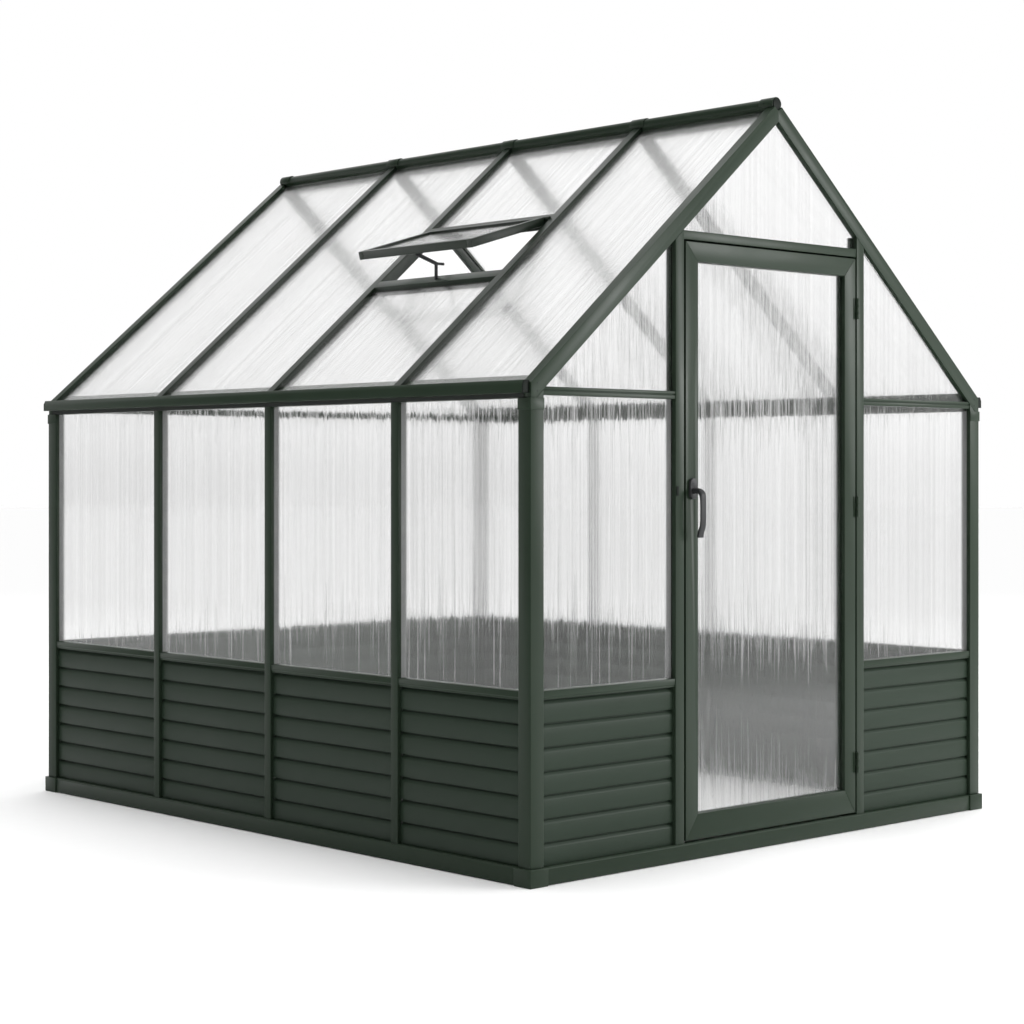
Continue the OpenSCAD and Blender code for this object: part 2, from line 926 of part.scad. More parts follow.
module vent_sash_stiles() {
  color(frame_green)
    on_sash() {
      span_box([sash_x0, sash_x1], [sash_y0, sash_y0 + sash_rail_w], sash_z);
      span_box([sash_x0, sash_x1], [sash_y1 - sash_rail_w, sash_y1], sash_z);
    }
}

module vent_sash_rails() {
  color(frame_green)
    on_sash() {
      span_box([sash_x0, sash_x0 + sash_rail_w], [sash_y0 + sash_rail_w, sash_y1 - sash_rail_w], sash_z);
      span_box([sash_x1 - sash_rail_w, sash_x1], [sash_y0 + sash_rail_w, sash_y1 - sash_rail_w], sash_z);
    }
}

module vent_pane() {
  color(sheet_clear)
    on_sash()
      span_box(
        [sash_x0 + sash_rail_w, sash_x1 - sash_rail_w],
        [sash_y0 + sash_rail_w, sash_y1 - sash_rail_w],
        [sash_z[1] - 2 * pane_t, sash_z[1] - pane_t]
      );
}

stay_u = vent_sill_u + vent_sill_w / 2;
stay_y = (vent_y0 + vent_y1) / 2;
stay_z = roof_z(vent_sill_u);
sash_foot_u = vent_pin_u + (sash_x1 - sash_rail_w / 2) * cos(vent_fall) + sash_z[0] * sin(vent_fall);
sash_foot_z = vent_pin_z - (sash_x1 - sash_rail_w / 2) * sin(vent_fall) + sash_z[0] * cos(vent_fall);

// Stay of the vent: a post on the sill bar and an arm up to the sash.
module vent_stay() {
  color(metal_dark)
    mirror([1, 0, 0])
      union() {
        along_y([
          [stay_u - stay_t / 2, roof_z(stay_u - stay_t / 2)],
          [stay_u + stay_t / 2, roof_z(stay_u + stay_t / 2)],
          [stay_u + stay_t / 2, stay_z + stay_h],
          [stay_u - stay_t / 2, stay_z + stay_h]
        ], [stay_y - stay_t / 2, stay_y + stay_t / 2]);
        along_y([
          [stay_u - stay_tail, stay_z + stay_h - stay_t],
          [stay_u + stay_t / 2, stay_z + stay_h - stay_t],
          [sash_foot_u + stay_t / 2, sash_foot_z - stay_t],
          [sash_foot_u + stay_t / 2, sash_foot_z - stay_t / 2 * sin(vent_fall)],
          [sash_foot_u - stay_t / 2, sash_foot_z + stay_t / 2 * sin(vent_fall)],
          [stay_u - stay_t / 2, stay_z + stay_h],
          [stay_u - stay_tail, stay_z + stay_h]
        ], [stay_y - stay_t / 2, stay_y + stay_t / 2]);
      }
}

// Groove around the door's frame that holds its sheet.
module door_sheet(bite) {
  span_box(
    [door_x0 + stile_w - bite, door_x1 - stile_w + bite],
    [door_sheet_y, door_sheet_y + pane_t],
    [door_z0 + foot_h - bite, door_z1 - head_h + bite]
  );
}

// Stiles and rails meet on mitres from corner to corner.
module door_stiles() {
  color(frame_green)
    difference() {
      union() {
        along_y([
          [door_x0, door_z0],
          [door_x0 + stile_w, door_z0 + foot_h],
          [door_x0 + stile_w, door_z1 - head_h],
          [door_x0, door_z1]
        ], [door_y0, door_y1]);
        along_y([
          [door_x1, door_z0],
          [door_x1 - stile_w, door_z0 + foot_h],
          [door_x1 - stile_w, door_z1 - head_h],
          [door_x1, door_z1]
        ], [door_y0, door_y1]);
      }
      door_sheet(pane_bite);
      rod_y(neck_r + neck_play, handle_x, handle_z, [door_y0 - sink, door_y1 + sink]);
    }
}

module door_rails() {
  color(frame_green)
    difference() {
      union() {
        along_y([
          [door_x0, door_z0],
          [door_x1, door_z0],
          [door_x1 - stile_w, door_z0 + foot_h],
          [door_x0 + stile_w, door_z0 + foot_h]
        ], [door_y0, door_y1]);
        along_y([
          [door_x0, door_z1],
          [door_x0 + stile_w, door_z1 - head_h],
          [door_x1 - stile_w, door_z1 - head_h],
          [door_x1, door_z1]
        ], [door_y0, door_y1]);
      }
      door_sheet(pane_bite);
    }
}

module door_pane() {
  color(sheet_clear)
    door_sheet(pane_bite);
}

// Barrel of a hinge, upright on the hinge line.
module barrel(r, z0, h) {
  translate([hinge_x, hinge_y, z0])
    cylinder(r = r, h = h);
}

// Fixed half of each hinge: a leaf on the jamb, the end barrels and the pin.
module jamb_hinge_leaves() {
  leaf_ys = [-post_y - hinge_leaf_t, -post_y];
  leaf_x0 = hinge_x + barrel_r + sink;
  color(frame_green)
    for (z = hinge_zs)
      translate([0, 0, z - hinge_h / 2])
        union() {
          span_box([leaf_x0, leaf_x0 + hinge_leaf_w], leaf_ys, [0, hinge_h]);
          for (k = [0, 2]) {
            span_box([hinge_x, leaf_x0 + sink], leaf_ys, [k * barrel_h, (k + 1) * barrel_h]);
            barrel(barrel_r, k * barrel_h, barrel_h);
          }
          barrel(pin_r, 0, hinge_h);
        }
}

// Moving half of each hinge: a leaf on the door's stile and the middle barrel.
module door_hinge_leaves() {
  leaf_ys = [door_y0 - hinge_leaf_t, door_y0];
  leaf_x1 = hinge_x - barrel_r - sink;
  mid = [barrel_h + barrel_gap, 2 * barrel_h - barrel_gap];
  color(frame_green)
    for (z = hinge_zs)
      translate([0, 0, z - hinge_h / 2])
        difference() {
          union() {
            span_box([leaf_x1 - hinge_leaf_w, leaf_x1], leaf_ys, [0, hinge_h]);
            span_box([leaf_x1 - sink, hinge_x], leaf_ys, mid);
            barrel(barrel_r, mid[0], mid[1] - mid[0]);
          }
          barrel(pin_r + pin_play, -sink, hinge_h + 2 * sink);
        }
}

// Plate of the handle, rounded at both ends, with a bore for the neck.
module rose(y) {
  straight = (rose_h - rose_w) / 2;
  difference() {
    union() {
      span_box(
        [handle_x - rose_w / 2, handle_x + rose_w / 2],
        y,
        [handle_z + rose_rise - straight, handle_z + rose_rise + straight]
      );
      for (s = [-1, 1])
        rod_y(rose_w / 2, handle_x, handle_z + rose_rise + s * straight, y);
    }
    rod_y(neck_r + neck_play, handle_x, handle_z, [y[0] - sink, y[1] + sink]);
  }
}

module handle_roses() {
  color(metal_dark) {
    rose([door_y0 - rose_t, door_y0]);
    rose([door_y1, door_y1 + rose_t]);
  }
}

// Lever with a neck, an elbow, a flat grip and a foot bent back, out from a face of the door.
module lever(face_y, way) {
  far_y = face_y + way * (lever_reach + sink);
  neck_y = face_y + way * (neck_start + sink);
  intersection() {
    along_x(
      [for (p = lever_side) [face_y + way * p[0], handle_z + p[1]]],
      [handle_x - lever_w / 2 - sink, handle_x + lever_w / 2 + sink]
    );
    along_y(lever_front, [min(face_y, far_y), max(face_y, far_y)]);
  }
  rod_y(neck_r, handle_x, handle_z, [min(face_y, neck_y), max(face_y, neck_y)]);
}

// Both levers on one shaft through the door.
module lever_handles() {
  color(metal_dark)
    union() {
      lever(door_y0, -1);
      lever(door_y1, 1);
      rod_y(shaft_r, handle_x, handle_z, [door_y0 - sink, door_y1 + sink]);
    }
}

// Latch plate on the jamb's face beside the handle.
module strike_plate() {
  strike_x = jamb_l - jamb_w + strike_in;
  color(metal_dark)
    span_box(
      [strike_x, strike_x + strike_w],
      [-post_y - strike_t, -post_y],
      [handle_z - strike_h / 2, handle_z + strike_h / 2]
    );
}

corner_boots();
base_sills();
corner_posts();
corner_brackets();
wall_studs();
mid_rails();
side_siding();
gable_siding();
side_panes();
front_panes();
rear_pane();
eave_beams();
gutters();
gutter_end_caps();
gable_rails();
front_rafter_left();
front_rafter_right();
rear_rafter_left();
rear_rafter_right();
left_roof_bars();
right_roof_bars();
ridge_beam();
ridge_clips();
ridge_end_caps();
left_roof_panes();
right_roof_panes();
front_gable_panes();
rear_gable_pane();
door_jambs();
door_transom();
vent_cross_bars();
vent_sash_stiles();
vent_sash_rails();
vent_pane();
vent_stay();
jamb_hinge_leaves();
strike_plate();
door_stiles();
door_rails();
door_pane();
door_hinge_leaves();
handle_roses();
lever_handles();
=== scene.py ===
"""Polycarbonate greenhouse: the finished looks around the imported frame.

A walk-in gable greenhouse with a dark green powder-coated aluminium frame,
lapped siding below, twin-wall sheets above, a gutter along each eave, an open
roof vent and a door with a lever handle. Lengths are metres, except where a
name ends in _mm. The front gable faces -Y and the long walls face -X and +X.
"""

import json
import logging
import math
from dataclasses import dataclass, field
from enum import Enum
from typing import Any, Callable, ClassVar, Optional, Sequence

import bmesh
import bpy
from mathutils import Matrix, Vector
from mathutils.bvhtree import BVHTree


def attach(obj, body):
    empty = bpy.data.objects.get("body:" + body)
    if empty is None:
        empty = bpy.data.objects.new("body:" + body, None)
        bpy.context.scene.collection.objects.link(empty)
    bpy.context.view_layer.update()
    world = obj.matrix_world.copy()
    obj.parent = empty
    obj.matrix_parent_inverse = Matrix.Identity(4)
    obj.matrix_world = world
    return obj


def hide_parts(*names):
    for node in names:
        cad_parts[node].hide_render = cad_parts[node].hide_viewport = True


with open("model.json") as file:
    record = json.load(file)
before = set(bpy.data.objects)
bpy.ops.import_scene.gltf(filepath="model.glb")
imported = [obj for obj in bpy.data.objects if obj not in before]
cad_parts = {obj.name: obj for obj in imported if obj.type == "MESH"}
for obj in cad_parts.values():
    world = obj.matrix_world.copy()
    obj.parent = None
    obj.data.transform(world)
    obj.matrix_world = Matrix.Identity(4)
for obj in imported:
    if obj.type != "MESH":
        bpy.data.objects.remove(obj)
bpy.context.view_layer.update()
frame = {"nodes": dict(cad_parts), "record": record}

Tree = bpy.types.NodeTree
Socket = bpy.types.NodeSocket
Piece = bpy.types.Object
Shape = bmesh.types.BMesh
Spot = tuple[Vector, Vector]
Pairs = tuple[tuple[float, float], ...]

log = logging.getLogger("greenhouse")
MM = 0.001
UP = Vector((0.0, 0.0, 1.0))
WHITE = (1.0, 1.0, 1.0, 1.0)
PLASTIC_IOR = 1.5
WELD_MM = 0.01
FLAT_DEG = 0.5


class Body(Enum):
    """The rigid bodies that pieces ride on."""

    BUILDING = "building"
    DOOR = "door"
    HANDLE = "handle"


class Slot(Enum):
    """The record's material slots."""

    FRAME = "frame"
    SIDING = "siding"
    SHEET = "sheet"
    FITTINGS = "fittings"


class Flutes(Enum):
    """The axis across a sheet's flutes, as a unit vector."""

    ALONG_WALL = (0.0, 1.0, 0.0)
    ALONG_GABLE = (1.0, 0.0, 0.0)


def linear(code: str) -> tuple[float, float, float, float]:
    """Turns an sRGB hex colour into linear light.

    Args:
        code: Colour as "#rrggbb".

    Returns:
        Red, green, blue and an alpha of one.
    """
    parts = [int(code[i : i + 2], 16) / 255 for i in (1, 3, 5)]
    red, green, blue = (p / 12.92 if p <= 0.04045 else ((p + 0.055) / 1.055) ** 2.4 for p in parts)
    return red, green, blue, 1.0


def add_node(tree: Tree, kind: str, values: Optional[dict[Any, Any]] = None) -> bpy.types.Node:
    """Adds one node with its settings and its links.

    Args:
        tree: Tree that gets the node.
        kind: Blender's name of the node type.
        values: Values by property name, or values and sockets by an input's name or number.

    Returns:
        The new node.
    """
    node = tree.nodes.new(kind)
    for key, value in (values or {}).items():
        if isinstance(value, Socket):
            tree.links.new(value, node.inputs[key])
        elif isinstance(key, str) and key in node.bl_rna.properties:
            setattr(node, key, value)
        else:
            node.inputs[key].default_value = value
    return node


def reckon(tree: Tree, operation: str, *terms: Any) -> Socket:
    """Adds a Math node with numbers and sockets as its terms and gives the result."""
    return add_node(tree, "ShaderNodeMath", {"operation": operation, **dict(enumerate(terms))}).outputs["Value"]


def steer(tree: Tree, operation: str, *terms: Any) -> Socket:
    """Adds a Vector Math node.

    Args:
        tree: Tree that gets the node.
        operation: Blender's name of the sum.
        terms: Vectors and sockets in the node's order; to scale, the second is the factor.

    Returns:
        The result, a number for lengths and dot products.
    """
    keys = (0, "Scale") if operation == "SCALE" else (0, 1)
    node = add_node(tree, "ShaderNodeVectorMath", {"operation": operation, **dict(zip(keys, terms))})
    return node.outputs["Value" if operation in ("DOT_PRODUCT", "LENGTH") else "Vector"]


def stretch(
    tree: Tree, value: Socket, to: Sequence[float], start: Sequence[float] = (0.0, 1.0), smooth: bool = False
) -> Socket:
    """Maps a value from one span to another, with eased ends if smooth."""
    values = {
        "interpolation_type": "SMOOTHSTEP" if smooth else "LINEAR",
        "From Min": start[0],
        "From Max": start[1],
        "To Min": to[0],
        "To Max": to[1],
        "Value": value,
    }
    return add_node(tree, "ShaderNodeMapRange", values).outputs["Result"]


def blend(tree: Tree, share: Socket, first: str, second: str) -> Socket:
    """Mixes two hex colours by the share of the second."""
    values = {"data_type": "RGBA", "A": linear(first), "B": linear(second), 0: share}
    return add_node(tree, "ShaderNodeMix", values).outputs["Result"]


def object_place(tree: Tree) -> Socket:
    """Gives the place on the object, in metres."""
    return add_node(tree, "ShaderNodeTexCoord").outputs["Object"]


def speckle(tree: Tree, place: Socket, size_mm: float, detail: float, roughness: float = 0.5) -> Socket:
    """Adds a noise with patches of a real size and gives it, from zero to one."""
    values = {"Scale": 1 / (size_mm * MM), "Detail": detail, "Roughness": roughness, "Vector": place}
    return add_node(tree, "ShaderNodeTexNoise", values).outputs["Fac"]


def ripple(tree: Tree, height: Socket, strength: float, depth_mm: float) -> Socket:
    """Bends the surface's normal over a height field of a real depth."""
    values = {"Strength": strength, "Distance": depth_mm * MM, "Height": height}
    return add_node(tree, "ShaderNodeBump", values).outputs["Normal"]


def principled(tree: Tree, values: dict[Any, Any]) -> Socket:
    """Adds the main shader with some of its inputs set."""
    return add_node(tree, "ShaderNodeBsdfPrincipled", values).outputs["BSDF"]


def dice(tree: Tree, across: Socket, step_mm: float) -> tuple[Socket, Any]:
    """Throws random numbers that stay the same over each step of an axis.

    Args:
        tree: Tree that gets the nodes.
        across: Distance along the axis.
        step_mm: Length of a step.

    Returns:
        One random number, and three more under Red, Green and Blue.
    """
    step = reckon(tree, "FLOOR", reckon(tree, "MULTIPLY", across, 1 / (step_mm * MM)))
    noise = add_node(tree, "ShaderNodeTexWhiteNoise", {"noise_dimensions": "1D", "W": step}).outputs
    return noise["Value"], add_node(tree, "ShaderNodeSeparateColor", {"Color": noise["Color"]}).outputs


def beyond(tree: Tree, chance: Socket, share: float) -> Socket:
    """Spreads a random number about zero and keeps what lies beyond a share of it.

    Args:
        tree: Tree that gets the nodes.
        chance: Random number from zero to one.
        share: Share of the draws that gives zero.

    Returns:
        Zero, or what is left beyond the share on either side.
    """
    either = stretch(tree, chance, (-1.0, 1.0))
    inner = add_node(tree, "ShaderNodeClamp", {"Min": -share, "Max": share, "Value": either}).outputs["Result"]
    return reckon(tree, "SUBTRACT", either, inner)


@dataclass(frozen=True)
class Finish:
    """A surface finish, made into one material the first time it is used."""

    name: str

    def material(self) -> bpy.types.Material:
        """Gives the finish's material.

        Returns:
            The material, built on first use.
        """
        made = bpy.data.materials.get(self.name)
        if made is None:
            made = bpy.data.materials.new(self.name)
            made.use_nodes = True
            made.node_tree.nodes.clear()
            shader = self.shade(made.node_tree)
            add_node(made.node_tree, "ShaderNodeOutputMaterial", {"Surface": shader})
        return made

    def shade(self, tree: Tree) -> Socket:
        """Builds the finish's nodes.

        Args:
            tree: Empty material tree.

        Returns:
            The shader socket that feeds the output.
        """
        raise NotImplementedError


@dataclass(frozen=True)
class PowderCoat(Finish):
    """Polyester powder coat baked on aluminium: satin, with a faint orange peel."""

    colour: str = "#263226"
    worn: str = "#2b382c"
    roughness: float = 0.34
    drift: tuple[float, float] = (-0.04, 0.06)
    sheen: float = 0.17
    cloud_mm: float = 240.0
    peel_mm: float = 5.0
    peel_depth_mm: float = 0.05

    def shade(self, tree: Tree) -> Socket:
        """Builds a clouded satin green with orange peel.

        Args:
            tree: Empty material tree.

        Returns:
            The shader socket.
        """
        place = object_place(tree)
        # thickness of the coat drifts over hand-wide patches
        cloud = speckle(tree, place, self.cloud_mm, detail=3.0, roughness=0.55)
        gloss = stretch(tree, cloud, [self.roughness + d for d in self.drift], start=(0.3, 0.7))
        # real orange peel is about 2 mm across; it is drawn coarser so that it shows
        peel = speckle(tree, place, self.peel_mm, detail=1.0)
        values = {
            "IOR": PLASTIC_IOR,
            "Specular IOR Level": self.sheen,
            "Base Color": blend(tree, cloud, self.colour, self.worn),
            "Roughness": gloss,
            "Normal": ripple(tree, peel, strength=0.5, depth_mm=self.peel_depth_mm),
        }
        return principled(tree, values)


@dataclass(frozen=True)
class TwinWallSheet(Finish):
    """Extruded twin-wall polycarbonate: clear but milky, with upright flutes.

    The walls swell along the flutes, so most light is sent aside and bars behind
    show pale but crisp. Each flute also leans a little its own way, which turns
    level edges into a fine comb, and a few flutes spread light up and down.
    """

    flutes: Flutes = Flutes.ALONG_WALL
    clear: str = "#f8f8f8"
    rib: str = "#f0f0f0"
    flute_mm: float = 6.0
    line_mm: float = 0.15
    flat_share: float = 0.45
    side_lean: float = 0.2
    level_share: float = 0.66
    rise_lean: float = 0.9
    rarity: float = 4.5
    own_lean: float = 0.0055
    own_power: float = 3.0
    hazy_share: float = 0.03
    roughness: tuple[float, float] = (0.04, 0.2)
    clarity: tuple[float, float] = (0.99, 1.0)
    sheen: float = 0.1

    def shade(self, tree: Tree) -> Socket:
        """Builds streaked clear plastic.

        Args:
            tree: Empty material tree.

        Returns:
            The shader socket.
        """
        surface = add_node(tree, "ShaderNodeNewGeometry").outputs
        axis = Vector(self.flutes.value)
        across = steer(tree, "DOT_PRODUCT", object_place(tree), axis)
        chance, streak = dice(tree, across, self.flute_mm)
        # the swell of the walls is drawn in hair-fine lines: some flat, the rest leaning far aside
        luck, grain = dice(tree, across, self.line_mm)
        aside = steer(tree, "SCALE", axis * self.side_lean, beyond(tree, luck, self.flat_share))
        # a few flutes also send light up and down, so that level bars pale in streaks
        climb = beyond(tree, grain["Green"], self.level_share)
        rare = reckon(tree, "POWER", streak["Blue"], self.rarity)
        rise = steer(tree, "SCALE", UP * self.rise_lean, reckon(tree, "MULTIPLY", climb, rare))
        # most flutes hardly lean and a few lean well over
        few = reckon(tree, "POWER", stretch(tree, chance, (-1.0, 1.0)), self.own_power)
        own = steer(tree, "SCALE", UP * self.own_lean, few)
        leans = steer(tree, "ADD", steer(tree, "ADD", aside, rise), own)
        # only the wall that is met first leans, or the two would cancel out
        first = reckon(tree, "SUBTRACT", 1.0, surface["Backfacing"])
        bent = steer(tree, "ADD", surface["Normal"], steer(tree, "SCALE", leans, first))
        # a few of the lines are hazy
        hazy = reckon(tree, "LESS_THAN", grain["Blue"], self.hazy_share)
        plastic = principled(
            tree,
            {
                "IOR": PLASTIC_IOR,
                "Specular IOR Level": self.sheen,
                "Base Color": blend(tree, streak["Green"], self.rib, self.clear),
                "Roughness": stretch(tree, hazy, self.roughness),
                "Normal": steer(tree, "NORMALIZE", bent),
                # milky flutes stand beside clear ones
                "Transmission Weight": stretch(tree, streak["Green"], self.clarity),
            },
        )
        # light falls through the sheet, so it throws no dark shadow
        through = add_node(tree, "ShaderNodeBsdfTransparent", {"Color": linear(self.rib)}).outputs["BSDF"]
        shadow = add_node(tree, "ShaderNodeLightPath").outputs["Is Shadow Ray"]
        return add_node(tree, "ShaderNodeMixShader", {0: shadow, 1: plastic, 2: through}).outputs["Shader"]


@dataclass(frozen=True)
class CastFitting(Finish):
    """Die-cast zinc with a charcoal satin paint: soft sheen and a fine grain."""

    colour: str = "#2b2c2d"
    high: str = "#3a3b3c"
    roughness: float = 0.4
    sheen: float = 0.2
    grain_mm: float = 1.6
    grain_depth_mm: float = 0.06

    def shade(self, tree: Tree) -> Socket:
        """Builds a grained charcoal paint.

        Args:
            tree: Empty material tree.

        Returns:
            The shader socket.
        """
        grain = speckle(tree, object_place(tree), self.grain_mm, detail=3.0)
        values = {
            "IOR": PLASTIC_IOR,
            "Roughness": self.roughness,
            "Specular IOR Level": self.sheen,
            "Base Color": blend(tree, grain, self.colour, self.high),
            "Normal": ripple(tree, grain, strength=0.25, depth_mm=self.grain_depth_mm),
        }
        return principled(tree, values)


@dataclass(frozen=True)
class PlatedSteel(Finish):
    """Black zinc plate on steel screws: a dull dark metal with turning marks."""

    colour: str = "#1c201e"
    bright: str = "#313634"
    mark_mm: float = 0.8
    roughness: tuple[float, float] = (0.3, 0.5)

    def shade(self, tree: Tree) -> Socket:
        """Builds mottled dark metal.

        Args:
            tree: Empty material tree.

        Returns:
            The shader socket.
        """
        mark = speckle(tree, object_place(tree), self.mark_mm, detail=2.0)
        tone = blend(tree, mark, self.colour, self.bright)
        return principled(
            tree, {"Metallic": 1.0, "Base Color": tone, "Roughness": stretch(tree, mark, self.roughness)}
        )


@dataclass(frozen=True)
class SealRubber(Finish):
    """Extruded EPDM rubber: matt black with a slight bloom."""

    colour: str = "#0f1510"
    bloom: str = "#1a211b"
    bloom_mm: float = 30.0
    roughness: float = 0.75

    def shade(self, tree: Tree) -> Socket:
        """Builds bloomed matt black.

        Args:
            tree: Empty material tree.

        Returns:
            The shader socket.
        """
        bloom = speckle(tree, object_place(tree), self.bloom_mm, detail=4.0)
        tone = blend(tree, bloom, self.colour, self.bloom)
        return principled(tree, {"IOR": PLASTIC_IOR, "Roughness": self.roughness, "Base Color": tone})


@dataclass(frozen=True)
class StudioPaper(Finish):
    """Seamless white studio paper: matt, with a barely seen fibre, and painted shade far out."""

    colour: str = "#f8f8f8"
    fibre: str = "#fbfbfb"
    fibre_mm: float = 40.0
    dim_from: float = 5.0
    dim_to: float = 14.0
    dimmed: float = 0.8

    def shade(self, tree: Tree) -> Socket:
        """Builds matt white paper.

        Args:
            tree: Empty material tree.

        Returns:
            The shader socket.
        """
        place = object_place(tree)
        fibre = speckle(tree, place, self.fibre_mm, detail=3.0)
        tone = blend(tree, fibre, self.colour, self.fibre)
        # the paper's colour is darkened far out, a painted shade, so that it meets the backdrop without a line
        far = steer(tree, "LENGTH", place)
        painted_dimming = stretch(tree, far, (1.0, self.dimmed), (self.dim_from, self.dim_to), smooth=True)
        shade = steer(tree, "SCALE", tone, painted_dimming)
        return principled(tree, {"Roughness": 1.0, "Specular IOR Level": 0.0, "Base Color": shade})


FRAME_GREEN = PowderCoat("powder_coated_aluminium")
# a darker copy of the frame's paint, which is painted shade on the vent and the roof bars
SHADE_PAINTED_GREEN = PowderCoat("powder_coated_green_painted_shade", colour="#1a251b", worn="#1e2a1f", sheen=0.4)
SIDING_GREEN = PowderCoat("powder_coated_siding", colour="#263227", worn="#2b382d", roughness=0.42, cloud_mm=320.0)
WALL_SHEET = TwinWallSheet("twin_wall_sheet_wall", flutes=Flutes.ALONG_WALL)
GABLE_SHEET = TwinWallSheet(
    "twin_wall_sheet_gable", flutes=Flutes.ALONG_GABLE, clear="#f5f5f5", rib="#ededed", level_share=0.7, rarity=3.5
)
DOOR_SHEET = TwinWallSheet(
    "twin_wall_sheet_door",
    flutes=Flutes.ALONG_GABLE,
    clear="#f4f4f4",
    rib="#eaeaea",
    flat_share=0.36,
    level_share=0.5,
    rise_lean=0.5,
    rarity=1.6,
)
ROOF_SHEET = TwinWallSheet("twin_wall_sheet_roof", clear="#f9f9f9", rib="#f1f1f1", hazy_share=0.4)
VENT_SHEET = TwinWallSheet(
    "twin_wall_sheet_vent", clear="#ffffff", rib="#f8f8f8", side_lean=0.1, own_lean=0.0, hazy_share=0.2, sheen=0.5
)
CHARCOAL = CastFitting("painted_zinc_casting")
CAP_PLASTIC = CastFitting("moulded_cap_plastic", colour="#0a110c", high="#121a14", roughness=0.55, sheen=0.15)
SCREW_STEEL = PlatedSteel("plated_screw_steel")
RUBBER = SealRubber("seal_rubber")
GREY_RUBBER = SealRubber("grey_seal_rubber", colour="#9fa09f", bloom="#b0b1b0")
PAPER = StudioPaper("studio_paper")


def merged_copy(node: str) -> Shape:
    """Copies a CAD node's mesh with its loose triangles joined into flat faces.

    Args:
        node: Name of the CAD node.

    Returns:
        The joined copy, which the caller frees.
    """
    shape = bmesh.new()
    shape.from_mesh(frame["nodes"][node].data)
    bmesh.ops.remove_doubles(shape, verts=shape.verts, dist=WELD_MM * MM)
    bmesh.ops.dissolve_limit(shape, angle_limit=math.radians(FLAT_DEG), verts=shape.verts, edges=shape.edges)
    return shape


def solid_boxes(node: str) -> list[tuple[Vector, Vector]]:
    """Finds the separate solids of a CAD node.

    Args:
        node: Name of the CAD node.

    Returns:
        Lowest and highest corner of each solid.
    """
    shape = merged_copy(node)
    boxes = []
    left = set(shape.verts)
    while left:
        group = {left.pop()}
        edge = list(group)
        while edge:
            fresh = {e.other_vert(v) for v in edge for e in v.link_edges} - group
            group |= fresh
            edge = list(fresh)
        left -= group
        spans = [[v.co[i] for v in group] for i in range(3)]
        boxes.append((Vector([min(s) for s in spans]), Vector([max(s) for s in spans])))
    shape.free()
    return sorted(boxes, key=lambda b: tuple(round(c, 4) for c in b[0]))


def seat(nodes: Sequence[str], start: Vector, way: Vector) -> Spot:
    """Finds where a straight line first meets some CAD nodes.

    Args:
        nodes: Names of the CAD nodes.
        start: Point outside them.
        way: Way of the line.

    Returns:
        The point on the surface and the surface's outward way.
    """
    found = []
    for node in nodes:
        shape = merged_copy(node)
        place, normal, _, distance = BVHTree.FromBMesh(shape).ray_cast(start, way)
        shape.free()
        if place is not None:
            found.append((distance, place, normal))
    if not found:
        raise ValueError(f"nothing to sit on at {tuple(start)}")
    _, place, normal = min(found, key=lambda f: f[0])
    return place, normal


def wall_axes(low: Vector, high: Vector) -> tuple[int, int, float]:
    """Finds a wall piece's axis along the wall, its axis through it and its outward sign."""
    run, deep = (1, 0) if high.x - low.x < high.y - low.y else (0, 1)
    return run, deep, math.copysign(1, low[deep] + high[deep])


def stand(name: str, data: bpy.types.ID) -> Piece:
    """Puts an object with some data into the scene.

    Args:
        name: Name of the object.
        data: Its mesh, lamp or camera.

    Returns:
        The new object at the origin.
    """
    item = bpy.data.objects.new(name, data)
    bpy.context.scene.collection.objects.link(item)
    return item


def new_piece(name: str, shape: Shape, finish: Finish) -> Piece:
    """Turns a bmesh into an object at the origin.

    Args:
        name: Name of the piece.
        shape: Mesh in the shared frame, freed here.
        finish: Finish of the whole piece.

    Returns:
        The new object.
    """
    mesh = bpy.data.meshes.new(name)
    shape.to_mesh(mesh)
    shape.free()
    mesh.materials.append(finish.material())
    return stand(name, mesh)


def soften(piece: Piece, width_mm: float, segments: int = 2, least_deg: float = 28.0) -> Piece:
    """Rounds a piece's edges as an extrusion or a casting has them.

    Args:
        piece: Piece with sharp edges.
        width_mm: Width of the rounding.
        segments: Facets across it.
        least_deg: Bend of the flattest edge that is rounded.

    Returns:
        The same piece.
    """
    piece.data.shade_smooth()
    bevel = piece.modifiers.new("rounded_edges", "BEVEL")
    bevel.width = width_mm * MM
    bevel.segments = segments
    bevel.limit_method = "ANGLE"
    bevel.angle_limit = math.radians(least_deg)
    bevel.harden_normals = True
    return piece


def smooth_faces(piece: Piece, sharp_deg: float = 50.0) -> Piece:
    """Shades a piece smooth, apart from its sharp edges.

    Args:
        piece: Piece with flat facets.
        sharp_deg: Bend from which an edge stays sharp.

    Returns:
        The same piece.
    """
    piece.data.shade_smooth()
    piece.data.set_sharp_from_angle(angle=math.radians(sharp_deg))
    return piece


def add_strip(shape: Shape, low: Vector, high: Vector, edge: float) -> None:
    """Adds an upright or level strip with its long edges cut off.

    Args:
        shape: Mesh that gets the strip.
        low: Lowest corner.
        high: Highest corner.
        edge: Width of the cut edges.
    """
    span = high - low
    run = max(range(3), key=lambda i: span[i])
    a, b = (i for i in range(3) if i != run)
    corners = [(0, edge), (edge, 0), (span[a] - edge, 0), (span[a], edge)]
    corners += [(span[a] - p, span[b] - q) for p, q in corners]
    outline = []
    for p, q in corners:
        point = low.copy()
        point[a] += p
        point[b] += q
        outline.append(point)
    add_prism(shape, outline, run, span[run])


